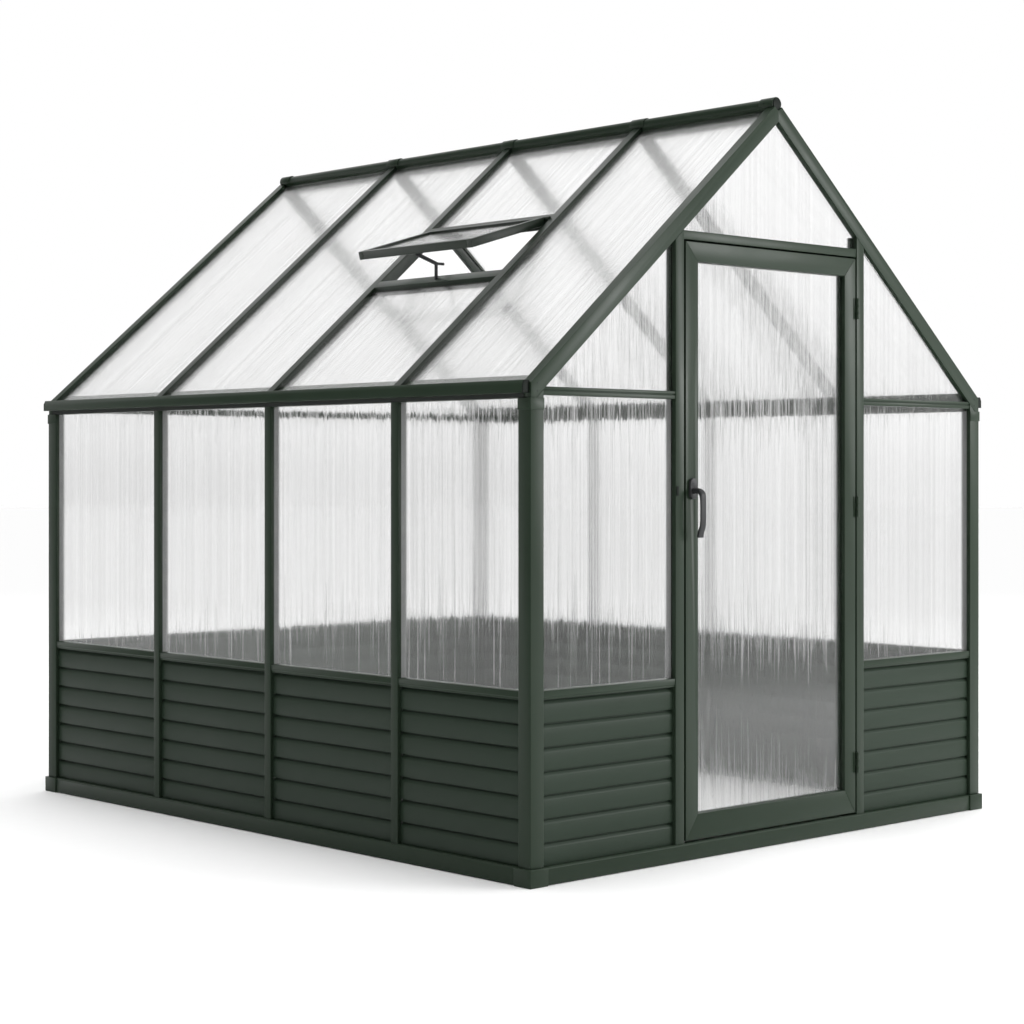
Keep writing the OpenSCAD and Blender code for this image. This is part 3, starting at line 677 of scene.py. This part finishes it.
def add_loft(shape: Shape, rings: Sequence[Sequence[Vector]]) -> None:
    """Joins rings of points into a closed skin.

    Args:
        shape: Mesh that gets the skin.
        rings: Rings of equal length, in order along the piece.
    """
    rows = [[shape.verts.new(p) for p in ring] for ring in rings]
    faces = [shape.faces.new(list(reversed(rows[0]))), shape.faces.new(rows[-1])]
    for low, high in zip(rows, rows[1:]):
        for i in range(len(low)):
            j = (i + 1) % len(low)
            faces.append(shape.faces.new([low[i], low[j], high[j], high[i]]))
    bmesh.ops.recalc_face_normals(shape, faces=faces)


def add_prism(shape: Shape, outline: Sequence[Vector], run: int, length: float) -> None:
    """Draws a flat outline out along an axis into a closed solid."""
    along = Vector([length if i == run else 0.0 for i in range(3)])
    add_loft(shape, [outline, [p + along for p in outline]])


class NodeTool:
    """A geometry node tree that turns a plain source mesh into a finished one."""

    def __init__(self, name: str, **inputs: str) -> None:
        """Makes the tree with its named inputs.

        Args:
            name: Name of the tree.
            inputs: Kind of each named input; Geometry and Material are always there.
        """
        self.tree = bpy.data.node_groups.new(name, "GeometryNodeTree")
        self.keys = {}
        for label, kind in {"Geometry": "Geometry", **inputs, "Material": "Material"}.items():
            made = self.tree.interface.new_socket(label, in_out="INPUT", socket_type="NodeSocket" + kind)
            self.keys[label] = made.identifier
        self.tree.interface.new_socket("Geometry", in_out="OUTPUT", socket_type="NodeSocketGeometry")
        self.enter = self.tree.nodes.new("NodeGroupInput").outputs

    def close(self, geometry: Socket) -> None:
        """Ends the tree in real geometry with the Material input on it.

        Args:
            geometry: Socket with what the tree has made.
        """
        real = add_node(self.tree, "GeometryNodeRealizeInstances", {"Geometry": geometry})
        dressed = add_node(
            self.tree,
            "GeometryNodeSetMaterial",
            {"Geometry": real.outputs["Geometry"], "Material": self.enter["Material"]},
        )
        add_node(self.tree, "NodeGroupOutput", {0: dressed.outputs["Geometry"]})

    def make(self, name: str, source: Piece, values: dict[str, Any]) -> Piece:
        """Runs the tree on a source mesh.

        Args:
            name: Name of the finished piece.
            source: Object with the source mesh, used up here.
            values: Value of each named input.

        Returns:
            A plain mesh object at the origin.
        """
        step = source.modifiers.new("tool", "NODES")
        step.node_group = self.tree
        for label, value in values.items():
            step[self.keys[label]] = value
        graph = bpy.context.evaluated_depsgraph_get()
        mesh = bpy.data.meshes.new_from_object(source.evaluated_get(graph))
        mesh.name = name
        source.modifiers.remove(step)
        bpy.data.objects.remove(source)
        return stand(name, mesh)


class Placer(NodeTool):
    """Sets copies of one small shape on points, turned to face outwards."""

    seed: ClassVar[int] = 7

    def __init__(self) -> None:
        """Builds the tree."""
        super().__init__("place_on_points", Shape="Object", Spin="Float", Seed="Int")
        tree, enter = self.tree, self.enter
        points = add_node(tree, "GeometryNodeMeshToPoints", {"Mesh": enter["Geometry"]})
        named = {"data_type": "FLOAT_VECTOR", "Name": "facing"}
        facing = add_node(tree, "GeometryNodeInputNamedAttribute", named).outputs["Attribute"]
        turned = add_node(tree, "FunctionNodeAlignRotationToVector", {"axis": "Z", "Vector": facing})
        limits = {"data_type": "FLOAT", 3: enter["Spin"], "Seed": enter["Seed"]}
        angle = add_node(tree, "FunctionNodeRandomValue", limits).outputs[1]
        spin = add_node(tree, "ShaderNodeCombineXYZ", {"Z": angle}).outputs["Vector"]
        turns = {"rotation_space": "LOCAL", "Rotation": turned.outputs["Rotation"], "Rotate By": spin}
        spun = add_node(tree, "FunctionNodeRotateRotation", turns)
        shape = add_node(tree, "GeometryNodeObjectInfo", {"Object": enter["Shape"]})
        placed = add_node(
            tree,
            "GeometryNodeInstanceOnPoints",
            {
                "Points": points.outputs["Points"],
                "Instance": shape.outputs["Geometry"],
                "Rotation": spun.outputs["Rotation"],
            },
        )
        self.close(placed.outputs["Instances"])

    def place(self, name: str, shape: Shape, spots: Sequence[Spot], finish: Finish, spin: float = 0.0) -> Piece:
        """Sets a shape on every spot.

        Args:
            name: Name of the finished piece.
            shape: Small shape that stands on its own origin along Z.
            spots: Place and outward way of each copy.
            finish: Finish of the copies.
            spin: Largest random turn about the outward way, in radians.

        Returns:
            One plain mesh with all the copies.
        """
        pattern = new_piece(name + "_pattern", shape, finish)
        mesh = bpy.data.meshes.new(name + "_points")
        mesh.from_pydata([p for p, _ in spots], [], [])
        ways = mesh.attributes.new("facing", "FLOAT_VECTOR", "POINT")
        for i, (_, way) in enumerate(spots):
            ways.data[i].vector = way
        values = {"Shape": pattern, "Spin": spin, "Seed": self.seed, "Material": finish.material()}
        piece = self.make(name, stand(name + "_points", mesh), values)
        bpy.data.objects.remove(pattern)
        return piece


class BoardStacker(NodeTool):
    """Stacks a siding board up a wall, one copy per board."""

    def __init__(self) -> None:
        """Builds the tree."""
        super().__init__("stack_boards", Boards="Int", Pitch="Float")
        tree, enter = self.tree, self.enter
        rise = add_node(tree, "ShaderNodeCombineXYZ", {"Z": enter["Pitch"]}).outputs["Vector"]
        heights = add_node(tree, "GeometryNodeMeshLine", {"Count": enter["Boards"], "Offset": rise})
        stacked = add_node(
            tree,
            "GeometryNodeInstanceOnPoints",
            {"Points": heights.outputs["Mesh"], "Instance": enter["Geometry"]},
        )
        self.close(stacked.outputs["Instances"])


@dataclass
class Workshop:
    """The node tools that the sub-assemblies share."""

    placer: Placer = field(default_factory=Placer)
    stacker: BoardStacker = field(default_factory=BoardStacker)


@dataclass
class Screws:
    """Sizes of a pan-head screw with a cross recess."""

    head_r_mm: float
    head_h_mm: float
    sides: int = 12
    sink_mm: float = 1.7
    # radius and height of each ring, as shares of the head's
    steps: Pairs = (
        (1.0, 0.0), (1.0, 0.35), (0.86, 0.75), (0.55, 0.97), (0.3, 1.0), (0.22, 0.55)
    )
    recess: float = 0.35
    pinched: float = 0.45

    def shape(self) -> Shape:
        """Draws one screw head, standing on its face along Z.

        Returns:
            The head as a small closed mesh.
        """
        shape = bmesh.new()
        rings = []
        for share, height in self.steps:
            ring = []
            for i in range(self.sides):
                angle = math.tau * i / self.sides
                # the recess is pulled into a cross by every third side
                pinch = self.pinched if share < self.recess and i % 3 else 1.0
                r = self.head_r_mm * MM * share * pinch
                ring.append(Vector((r * math.cos(angle), r * math.sin(angle), height * self.head_h_mm * MM)))
            rings.append(ring)
        add_loft(shape, rings)
        return shape


@dataclass
class Assembly:
    """A sub-assembly of the greenhouse and the pieces it has made."""

    shop: Workshop
    body: Body = Body.BUILDING
    pieces: list[Piece] = field(default_factory=list)

    def add(self, piece: Piece, slot: Slot, *stands_for: str) -> Piece:
        """Fixes a piece to the sub-assembly's body.

        Args:
            piece: Finished piece in the shared frame.
            slot: Record slot of its finish; not used.
            stands_for: CAD nodes that the piece replaces.

        Returns:
            The same piece.
        """
        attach(piece, self.body.value)
        if stands_for:
            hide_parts(*stands_for)
        self.pieces.append(piece)
        return piece

    def coat(self, finish: Finish = FRAME_GREEN, slot: Slot = Slot.FRAME, **edges_mm: float) -> None:
        """Puts coated copies with rounded edges in place of CAD nodes.

        Args:
            finish: Finish of the pieces.
            slot: Record slot of the finish.
            edges_mm: Rounding of each node's edges, by the node's name.
        """
        for node, edge_mm in edges_mm.items():
            piece = new_piece(node + "_coated", merged_copy(node), finish)
            self.add(soften(piece, edge_mm), slot, node)

    def glaze(self, finish: Finish, *nodes: str) -> None:
        """Gives the CAD nodes of sheets their clear finish.

        Args:
            finish: Finish with its flutes the right way round.
            nodes: CAD nodes of the sheets.
        """
        for sheet in (frame["nodes"][node] for node in nodes):
            sheet.data.materials.clear()
            sheet.data.materials.append(finish.material())
            self.pieces.append(sheet)

    def fasten(self, name: str, screws: Screws, spots: Sequence[Spot]) -> None:
        """Drives screws in at their seats, sunk so that they stay inside the part's outline."""
        sunk = [(place - way * screws.sink_mm * MM, way) for place, way in spots]
        self.add(self.shop.placer.place(name, screws.shape(), sunk, SCREW_STEEL, math.tau), Slot.FITTINGS)

    def build(self) -> None:
        """Makes the sub-assembly's pieces."""
        raise NotImplementedError


@dataclass
class Base(Assembly):
    """Corner boots and base sills with the boots' screws."""

    # distance from the boot's corner and height of each screw
    screws_mm: Pairs = ((37.0, 39.0), (26.0, 16.0))

    def build(self) -> None:
        """Makes the base; see Assembly.build."""
        self.coat(corner_boots=1.6, base_sills=1.2)
        spots = []
        for low, high in solid_boxes("corner_boots"):
            sx, sy = (math.copysign(1, (low + high)[i]) for i in (0, 1))
            x, y = (max(abs(low[i]), abs(high[i])) for i in (0, 1))
            for inset, z in self.screws_mm:
                spots.append((Vector((sx * x, sy * (y - inset * MM), z * MM)), Vector((sx, 0, 0))))
                spots.append((Vector((sx * (x - inset * MM), sy * y, z * MM)), Vector((0, sy, 0))))
        self.fasten("boot_screws", Screws(3.4, 1.6), spots)


@dataclass
class Walls(Assembly):
    """Posts, head plates, studs and rails."""

    def build(self) -> None:
        """Makes the wall frame; see Assembly.build."""
        self.coat(corner_posts=1.8, corner_brackets=0.6, wall_studs=1.4, mid_rails=1.0, gable_rails=1.2)


@dataclass
class Siding(Assembly):
    """Lapped boards below the rails, stacked in panels."""

    boards: int = 7
    panel_d_mm: float = 20.0
    slot_h_mm: float = 5.0
    lip_h_mm: float = 9.0
    lip_in_mm: float = 6.0
    groove_in_mm: float = 9.0
    back_groove_mm: tuple[float, float] = (3.0, 5.0)

    def profile(self, pitch_mm: float) -> list[tuple[float, float]]:
        """Draws one board's end: face, drip edge, bevelled lip and grooves.

        Args:
            pitch_mm: Height that one board takes up.

        Returns:
            Depth behind the face and height above the board's foot, in mm.
        """
        lip = pitch_mm - self.slot_h_mm
        face = lip - self.lip_h_mm
        back_in, back_h = self.back_groove_mm
        # the small steps round off the drip edge, the lip and the back's foot
        return [
            (1.4, 0.0),
            (0.4, 0.4),
            (0.0, 1.4),
            (0.0, face - 1.2),
            (0.35, face),
            (0.5 * self.lip_in_mm, face + 0.5 * self.lip_h_mm),
            (self.lip_in_mm - 0.8, lip - 1.6),
            (self.lip_in_mm - 0.1, lip - 0.2),
            (self.lip_in_mm + 0.7, lip),
            (self.groove_in_mm, lip),
            (self.groove_in_mm, pitch_mm),
            (self.panel_d_mm - back_in, pitch_mm),
            (self.panel_d_mm, pitch_mm - back_h),
            (self.panel_d_mm, 0.8),
            (self.panel_d_mm - 0.8, 0.0),
        ]

    def lay_board(self, shape: Shape, low: Vector, high: Vector) -> None:
        """Draws the lowest board of a panel in its place.

        Args:
            shape: Mesh that gets the board.
            low: Lowest corner of the panel.
            high: Highest corner of the panel.
        """
        run, deep, out = wall_axes(low, high)
        face = high[deep] if out > 0 else low[deep]
        outline = []
        for depth, height in self.profile((high.z - low.z) / self.boards / MM):
            point = low.copy()
            point[deep] = face - out * depth * MM
            point.z += height * MM
            outline.append(point)
        add_prism(shape, outline, run, high[run] - low[run])

    def build(self) -> None:
        """Makes the siding; see Assembly.build."""
        for node in ("side_siding", "gable_siding"):
            row = bmesh.new()
            pitch = 0.0
            for low, high in solid_boxes(node):
                pitch = (high.z - low.z) / self.boards
                self.lay_board(row, low, high)
            source = new_piece(node + "_row", row, SIDING_GREEN)
            values = {"Boards": self.boards, "Pitch": pitch, "Material": SIDING_GREEN.material()}
            piece = self.shop.stacker.make(node + "_boards", source, values)
            self.add(smooth_faces(piece), Slot.SIDING, node)


@dataclass
class Glazing(Assembly):
    """Fixed sheets of the walls, the gables and the roof, with their seals."""

    seal_d_mm: float = 19.5
    seal_t_mm: float = 1.2
    seal_edge_mm: float = 0.3

    def seal(self, shape: Shape, low: Vector, high: Vector) -> None:
        """Adds the grey seals behind both upright edges of a wall sheet.

        Args:
            shape: Mesh that gets the seals.
            low: Lowest corner of the sheet.
            high: Highest corner of the sheet.
        """
        run, deep, out = wall_axes(low, high)
        face = high[deep] if out < 0 else low[deep]
        back = face - out * self.seal_d_mm * MM
        for edge, way in ((low[run], 1), (high[run], -1)):
            near, far = low.copy(), high.copy()
            near[deep], far[deep] = min(face, back), max(face, back)
            other = edge + way * self.seal_t_mm * MM
            near[run], far[run] = min(edge, other), max(edge, other)
            add_strip(shape, near, far, self.seal_edge_mm * MM)

    def build(self) -> None:
        """Dresses the sheets and seals them; see Assembly.build."""
        self.glaze(WALL_SHEET, "side_panes")
        self.glaze(ROOF_SHEET, "left_roof_panes", "right_roof_panes")
        self.glaze(GABLE_SHEET, "front_panes", "rear_pane", "front_gable_panes", "rear_gable_pane")
        shape = bmesh.new()
        for node in ("side_panes", "front_panes", "rear_pane"):
            for low, high in solid_boxes(node):
                self.seal(shape, low, high)
        self.add(new_piece("sheet_edge_seals", shape, GREY_RUBBER), Slot.FITTINGS)


@dataclass
class Eaves(Assembly):
    """Eave beams and gutters, with a thin black strip on each beam under its gutter that is painted shade."""

    # thickness, gaps, end inset and edge of the black strips that paint the shade under the gutters
    seal_t_mm: float = 1.5
    shade_strip_gap_mm: float = 0.3
    shade_strip_end_mm: float = 4.0
    seal_edge_mm: float = 0.3

    def build(self) -> None:
        """Makes the eaves; see Assembly.build."""
        self.coat(eave_beams=1.4, gutters=0.9)
        # the gutters' end caps are near-black moulded plastic, and that black also paints the shade inside each
        # gutter's open end
        self.coat(CAP_PLASTIC, Slot.FITTINGS, gutter_end_caps=0.8)
        # a thin black strip over each beam's face under its gutter is painted shade
        shape = bmesh.new()
        end = Vector((0, self.shade_strip_end_mm * MM, 0))
        gap = self.shade_strip_gap_mm * MM
        for beam, gutter in zip(solid_boxes("eave_beams"), solid_boxes("gutters")):
            side = math.copysign(1, beam[0].x + beam[1].x)
            face = beam[1].x if side > 0 else beam[0].x
            out = face + side * self.seal_t_mm * MM
            low = Vector((min(face, out), beam[0].y, beam[0].z + gap)) + end
            high = Vector((max(face, out), beam[1].y, gutter[0].z - gap)) - end
            add_strip(shape, low, high, self.seal_edge_mm * MM)
        self.add(new_piece("eave_seals", shape, RUBBER), Slot.FITTINGS)


@dataclass
class Roof(Assembly):
    """Rafters, roof bars and the ridge with its clips and screws."""

    # distance from the middle and height of each screw in a rafter's foot
    foot_screws_mm: Pairs = ((967.0, 1316.0), (967.0, 1295.0))
    # distance along the ridge and height of the screw in an end clip
    clip_screw_mm: tuple[float, float] = (1151.0, 2157.0)
    clear_y: float = 1.4
    clear_x: float = 0.2

    def screw_spots(self) -> list[Spot]:
        """Finds the seats of the screws in the rafters' feet and the end clips.

        Returns:
            Place and outward way of each screw.
        """
        spots = []
        y, top = (v * MM for v in self.clip_screw_mm)
        for end, face in ((-1, "front"), (1, "rear")):
            for side, hand in ((-1, "left"), (1, "right")):
                for x, z in self.foot_screws_mm:
                    start = Vector((side * x * MM, end * self.clear_y, z * MM))
                    spots.append(seat((f"{face}_rafter_{hand}",), start, Vector((0, -end, 0))))
                start = Vector((side * self.clear_x, end * y, top))
                spots.append(seat(("ridge_clips",), start, Vector((-side, 0, 0))))
        return spots

    def build(self) -> None:
        """Makes the roof frame; see Assembly.build."""
        self.coat(front_rafter_left=1.8, rear_rafter_left=1.8)
        # the roof bars get the darker copy of the frame's paint, which is painted shade
        self.coat(SHADE_PAINTED_GREEN, left_roof_bars=1.4)
        self.coat(front_rafter_right=1.8, rear_rafter_right=1.8)
        self.coat(SHADE_PAINTED_GREEN, right_roof_bars=1.4)
        self.coat(ridge_beam=0.8, ridge_clips=0.7)
        self.coat(CAP_PLASTIC, Slot.FITTINGS, ridge_end_caps=0.8)
        self.fasten("roof_screws", Screws(3.4, 2.0), self.screw_spots())


@dataclass
class Vent(Assembly):
    """Roof vent: cross bars, the open sash, its corner screws and its stay."""

    screw_xs_mm: tuple[float, float] = (-389.0, -658.0)
    screw_ys_mm: tuple[float, float] = (-594.0, -95.0)
    clear_z: float = 3.0

    def build(self) -> None:
        """Makes the vent; see Assembly.build."""
        sash = ("vent_sash_stiles", "vent_sash_rails")
        starts = [Vector((x * MM, y * MM, self.clear_z)) for x in self.screw_xs_mm for y in self.screw_ys_mm]
        self.fasten("sash_screws", Screws(3.0, 2.0), [seat(sash, start, -UP) for start in starts])
        # the vent's bars and sash get the darker copy of the frame's paint, which is painted shade
        self.coat(SHADE_PAINTED_GREEN, vent_cross_bars=1.4, vent_sash_stiles=1.4, vent_sash_rails=1.4)
        self.coat(CHARCOAL, Slot.FITTINGS, vent_stay=1.2)
        self.glaze(VENT_SHEET, "vent_pane")


@dataclass
class Doorway(Assembly):
    """Jambs, the bar over the door, the fixed fittings and the stop seals."""

    seal_t_mm: float = 5.0
    seal_on_mm: float = 8.0
    seal_behind_mm: float = 5.0
    seal_foot_mm: float = 62.0
    seal_edge_mm: float = 0.5

    def stop_seals(self) -> Shape:
        """Draws the flaps on the doorway's inner face that close the gaps round the door.

        Returns:
            The two upright flaps and the one over the door.
        """
        shape = bmesh.new()
        left, right = solid_boxes("door_jambs")
        bar = solid_boxes("door_transom")[0]
        leaf_low, leaf_high = solid_boxes("door_rails")[-1]
        on, behind = self.seal_on_mm * MM, self.seal_behind_mm * MM
        foot, edge = self.seal_foot_mm * MM, self.seal_edge_mm * MM
        front = left[1].y
        back = front + self.seal_t_mm * MM
        ends = (left[1].x - on, right[0].x + on)
        head = leaf_high.z - behind
        add_strip(shape, Vector((ends[0], front, foot)), Vector((leaf_low.x + behind, back, head - edge)), edge)
        add_strip(shape, Vector((leaf_high.x - behind, front, foot)), Vector((ends[1], back, head - edge)), edge)
        add_strip(shape, Vector((ends[0], front, head)), Vector((ends[1], back, bar[0].z + on)), edge)
        return shape

    def build(self) -> None:
        """Makes the doorway; see Assembly.build."""
        self.add(new_piece("door_stop_seals", self.stop_seals(), RUBBER), Slot.FITTINGS)
        self.coat(door_jambs=1.6, door_transom=1.4, jamb_hinge_leaves=0.5)
        self.coat(CAP_PLASTIC, Slot.FITTINGS, strike_plate=0.8)


@dataclass
class Door(Assembly):
    """The hinged door with its sheet and fittings."""

    body: Body = Body.DOOR
    rose_screw_mm: tuple[float, float] = (-371.0, 1051.0)
    # start and way along Y of the lines that find the handle plates' faces
    lines: Pairs = ((-1.4, 1), (-1.0, -1))

    def build(self) -> None:
        """Makes the door; see Assembly.build."""
        x, z = (v * MM for v in self.rose_screw_mm)
        spots = [seat(("handle_roses",), Vector((x, y, z)), Vector((0, to, 0))) for y, to in self.lines]
        self.fasten("rose_screws", Screws(2.4, 2.0), spots)
        self.coat(door_stiles=1.6, door_rails=1.6, door_hinge_leaves=0.5)
        self.coat(CHARCOAL, Slot.FITTINGS, handle_roses=1.6)
        self.glaze(DOOR_SHEET, "door_pane")


@dataclass
class Handle(Assembly):
    """The lever handles on both faces of the door, on one shaft.

    A lever is a round neck that turns down over an elbow into a flat grip,
    with a thick foot that bends back to the door.
    """

    body: Body = Body.HANDLE
    pivot_mm: tuple[float, float] = (-371.0, 1030.0)
    faces_mm: Pairs = ((-1191.0, -1), (-1155.0, 1))
    shaft_r_mm: float = 4.0
    sides: int = 28
    # distance out, height above the pivot, half width, half thickness, squareness
    stations: tuple[tuple[float, float, float, float, float], ...] = (
        (0.5, 0.0, 7.9, 7.9, 2.0),
        (13.0, 0.0, 7.9, 7.9, 2.0),
        (23.0, -0.1, 8.4, 8.3, 2.2),
        (29.0, -0.9, 9.3, 7.9, 2.5),
        (33.5, -2.9, 10.1, 7.2, 2.9),
        (37.2, -6.6, 10.7, 6.2, 3.3),
        (39.9, -12.0, 11.0, 5.0, 3.6),
        (41.3, -19.0, 11.0, 3.6, 3.8),
        (41.9, -29.0, 11.0, 3.0, 4.0),
        (41.9, -58.0, 10.8, 3.0, 4.0),
        (41.9, -84.0, 10.8, 3.0, 4.0),
        (40.9, -95.0, 10.9, 3.3, 4.0),
        (37.2, -106.0, 11.0, 4.2, 4.2),
        (33.6, -115.0, 11.0, 4.4, 4.4),
        (31.9, -123.0, 11.0, 4.4, 4.6),
        (31.2, -128.0, 10.8, 4.2, 4.6),
        (31.0, -129.6, 10.2, 3.6, 4.2),
        (31.0, -130.0, 9.2, 2.8, 4.0),
    )

    def ring(self, station: tuple[float, ...], lean: float, face_mm: float, way: int) -> list[Vector]:
        """Draws the lever's outline at one station of its path.

        Args:
            station: Place, half sizes and squareness of the outline.
            lean: Angle of the path below level, in radians.
            face_mm: The door's face that the lever stands on.
            way: Sign of the outward way along Y.

        Returns:
            Points round the outline.
        """
        out, height, half_w, half_t, square = station
        points = []
        for i in range(self.sides):
            turn = math.tau * i / self.sides
            c, s = math.cos(turn), math.sin(turn)
            side = half_w * math.copysign(abs(c) ** (2 / square), c)
            thick = half_t * math.copysign(abs(s) ** (2 / square), s)
            y = face_mm + way * (out + thick * math.sin(lean))
            z = self.pivot_mm[1] + height + thick * math.cos(lean)
            points.append(Vector((self.pivot_mm[0] + side, y, z)) * MM)
        return points

    def build(self) -> None:
        """Makes the levers; see Assembly.build."""
        shape = bmesh.new()
        for face_mm, way in self.faces_mm:
            rings = []
            for i, station in enumerate(self.stations):
                before = self.stations[max(i - 1, 0)]
                after = self.stations[min(i + 1, len(self.stations) - 1)]
                lean = math.atan2(before[1] - after[1], after[0] - before[0])
                rings.append(self.ring(station, lean, face_mm, way))
            add_loft(shape, rings)
        near, far = (face_mm for face_mm, _ in self.faces_mm)
        # a squareness of two gives a circle
        across = (self.shaft_r_mm, self.shaft_r_mm, 2.0)
        add_loft(shape, [self.ring((out, 0.0, *across), 0.0, near, 1) for out in (0.0, far - near)])
        lever = new_piece("bent_levers", shape, CHARCOAL)
        self.add(smooth_faces(lever), Slot.FITTINGS, "lever_handles")


def fixed(*place: float) -> Any:
    """Gives a dataclass field that holds a point or a way."""
    return field(default_factory=lambda: Vector(place))


@dataclass
class Studio:
    """White floor, soft light and the camera of the photograph."""

    sheets: Sequence[Piece]
    floor_r: float = 60.0
    floor_sides: int = 96
    key_watts: float = 110.0
    key_size: tuple[float, float] = (2.6, 0.9)
    key_place: Vector = fixed(2.75, -4.85, 1.85)
    key_aim: Vector = fixed(0.0, -1.2, 1.3)
    eye: Vector = fixed(-4.8891, -5.3125, 1.0841)
    yaw: float = -0.749
    lens: float = 76.75
    sensor: float = 36.0
    drop: float = -0.0395
    sight: float = 200.0
    # light from the left and the right, then the glow overhead
    dim: float = 0.2
    bright: float = 0.5
    sky_span: tuple[float, float] = (-0.75, 1.0)
    sky_way: Vector = fixed(0.75, -0.1, 0.65)
    zenith: float = 6.2
    zenith_power: float = 16.0
    # the backdrop's light at the horizon and above it, and its soft edge
    backdrop: tuple[float, float] = (0.66, 0.85)
    backdrop_rise: tuple[float, float] = (0.0, 0.026)
    backdrop_edge: tuple[float, float] = (0.3, 0.85)
    # a soft window on the right
    window: float = 0.5
    window_way: Vector = fixed(0.66, -0.71, 0.28)
    window_edge: tuple[float, float] = (0.6, 0.97)

    def build(self) -> None:
        """Makes the floor, the light and the camera."""
        self.lay_floor()
        self.light_sky()
        self.hang_key()
        self.set_camera()

    def lay_floor(self) -> None:
        """Lays a round sheet of paper under the greenhouse."""
        shape = bmesh.new()
        bmesh.ops.create_circle(shape, cap_ends=True, segments=self.floor_sides, radius=self.floor_r)
        new_piece("studio_floor", shape, PAPER)

    def light_sky(self) -> None:
        """Lights the studio all round, dim on the left and brightest overhead."""
        world = bpy.data.worlds.new("studio")
        bpy.context.scene.world = world
        world.use_nodes = True
        tree = world.node_tree
        tree.nodes.clear()
        way = add_node(tree, "ShaderNodeTexCoord").outputs["Generated"]
        height = add_node(tree, "ShaderNodeSeparateXYZ", {"Vector": way}).outputs["Z"]
        share = steer(tree, "DOT_PRODUCT", way, self.sky_way.normalized())
        level = stretch(tree, share, (self.dim, self.bright), self.sky_span)
        glow = reckon(tree, "POWER", reckon(tree, "MAXIMUM", height, 0.0), self.zenith_power)
        above = reckon(tree, "MULTIPLY_ADD", glow, self.zenith, level)
        ahead = steer(tree, "DOT_PRODUCT", way, (-math.sin(self.yaw), math.cos(self.yaw), 0.0))
        behind = stretch(tree, ahead, (0.0, 1.0), self.backdrop_edge, smooth=True)
        screen = reckon(tree, "MULTIPLY", behind, stretch(tree, height, self.backdrop, self.backdrop_rise))
        aside = steer(tree, "DOT_PRODUCT", way, self.window_way.normalized())
        window = stretch(tree, aside, (0.0, self.window), self.window_edge, smooth=True)
        total = reckon(tree, "ADD", above, reckon(tree, "ADD", screen, window))
        lit = add_node(tree, "ShaderNodeBackground", {"Color": WHITE, "Strength": total}).outputs["Background"]
        shown = add_node(tree, "ShaderNodeBackground", {"Color": WHITE, "Strength": 1.0}).outputs["Background"]
        seen = add_node(tree, "ShaderNodeLightPath").outputs["Is Camera Ray"]
        both = add_node(tree, "ShaderNodeMixShader", {0: seen, 1: lit, 2: shown}).outputs["Shader"]
        add_node(tree, "ShaderNodeOutputWorld", {"Surface": both})

    def hang_key(self) -> None:
        """Hangs a strip lamp in front of the door gable, which only the frame mirrors."""
        lamp = bpy.data.lights.new("key_strip", "AREA")
        lamp.shape = "RECTANGLE"
        lamp.size, lamp.size_y = self.key_size
        lamp.energy = self.key_watts
        key = stand("key_strip", lamp)
        key.location = self.key_place
        key.rotation_mode = "QUATERNION"
        key.rotation_quaternion = (self.key_aim - self.key_place).to_track_quat("-Z", "Y")
        spared = bpy.data.collections.new("not_lit_by_key")
        for sheet in self.sheets:
            spared.objects.link(sheet)
        key.light_linking.receiver_collection = spared
        for item in spared.collection_objects:
            item.light_linking.link_state = "EXCLUDE"

    def set_camera(self) -> None:
        """Sets the level camera with the photograph's downward shift."""
        lens = bpy.data.cameras.new("camera")
        lens.lens = self.lens
        lens.sensor_width = self.sensor
        lens.shift_y = self.drop
        lens.clip_end = self.sight
        camera = stand("camera", lens)
        camera.location = self.eye
        camera.rotation_euler = (math.pi / 2, 0.0, self.yaw)
        bpy.context.scene.camera = camera
        bpy.context.scene.view_settings.view_transform = "Standard"


def main() -> None:
    """Builds every sub-assembly in order and reports its pieces."""
    logging.basicConfig(level=logging.INFO, format="%(name)s: %(message)s")
    shop = Workshop()
    kinds: tuple[Callable[..., Assembly], ...] = (
        Base, Walls, Siding, Glazing, Eaves, Roof, Vent, Doorway, Door, Handle
    )
    for kind in kinds:
        part = kind(shop)
        part.build()
        for piece in part.pieces:
            log.info("%s: %s, %d faces", kind.__name__, piece.name, len(piece.data.polygons))
    subparts = frame["record"]["subparts"]
    sheets = [frame["nodes"][s["node"]] for s in subparts if s["material_slot"] == Slot.SHEET.value]
    Studio(sheets).build()


if __name__ == "__main__":
    main()
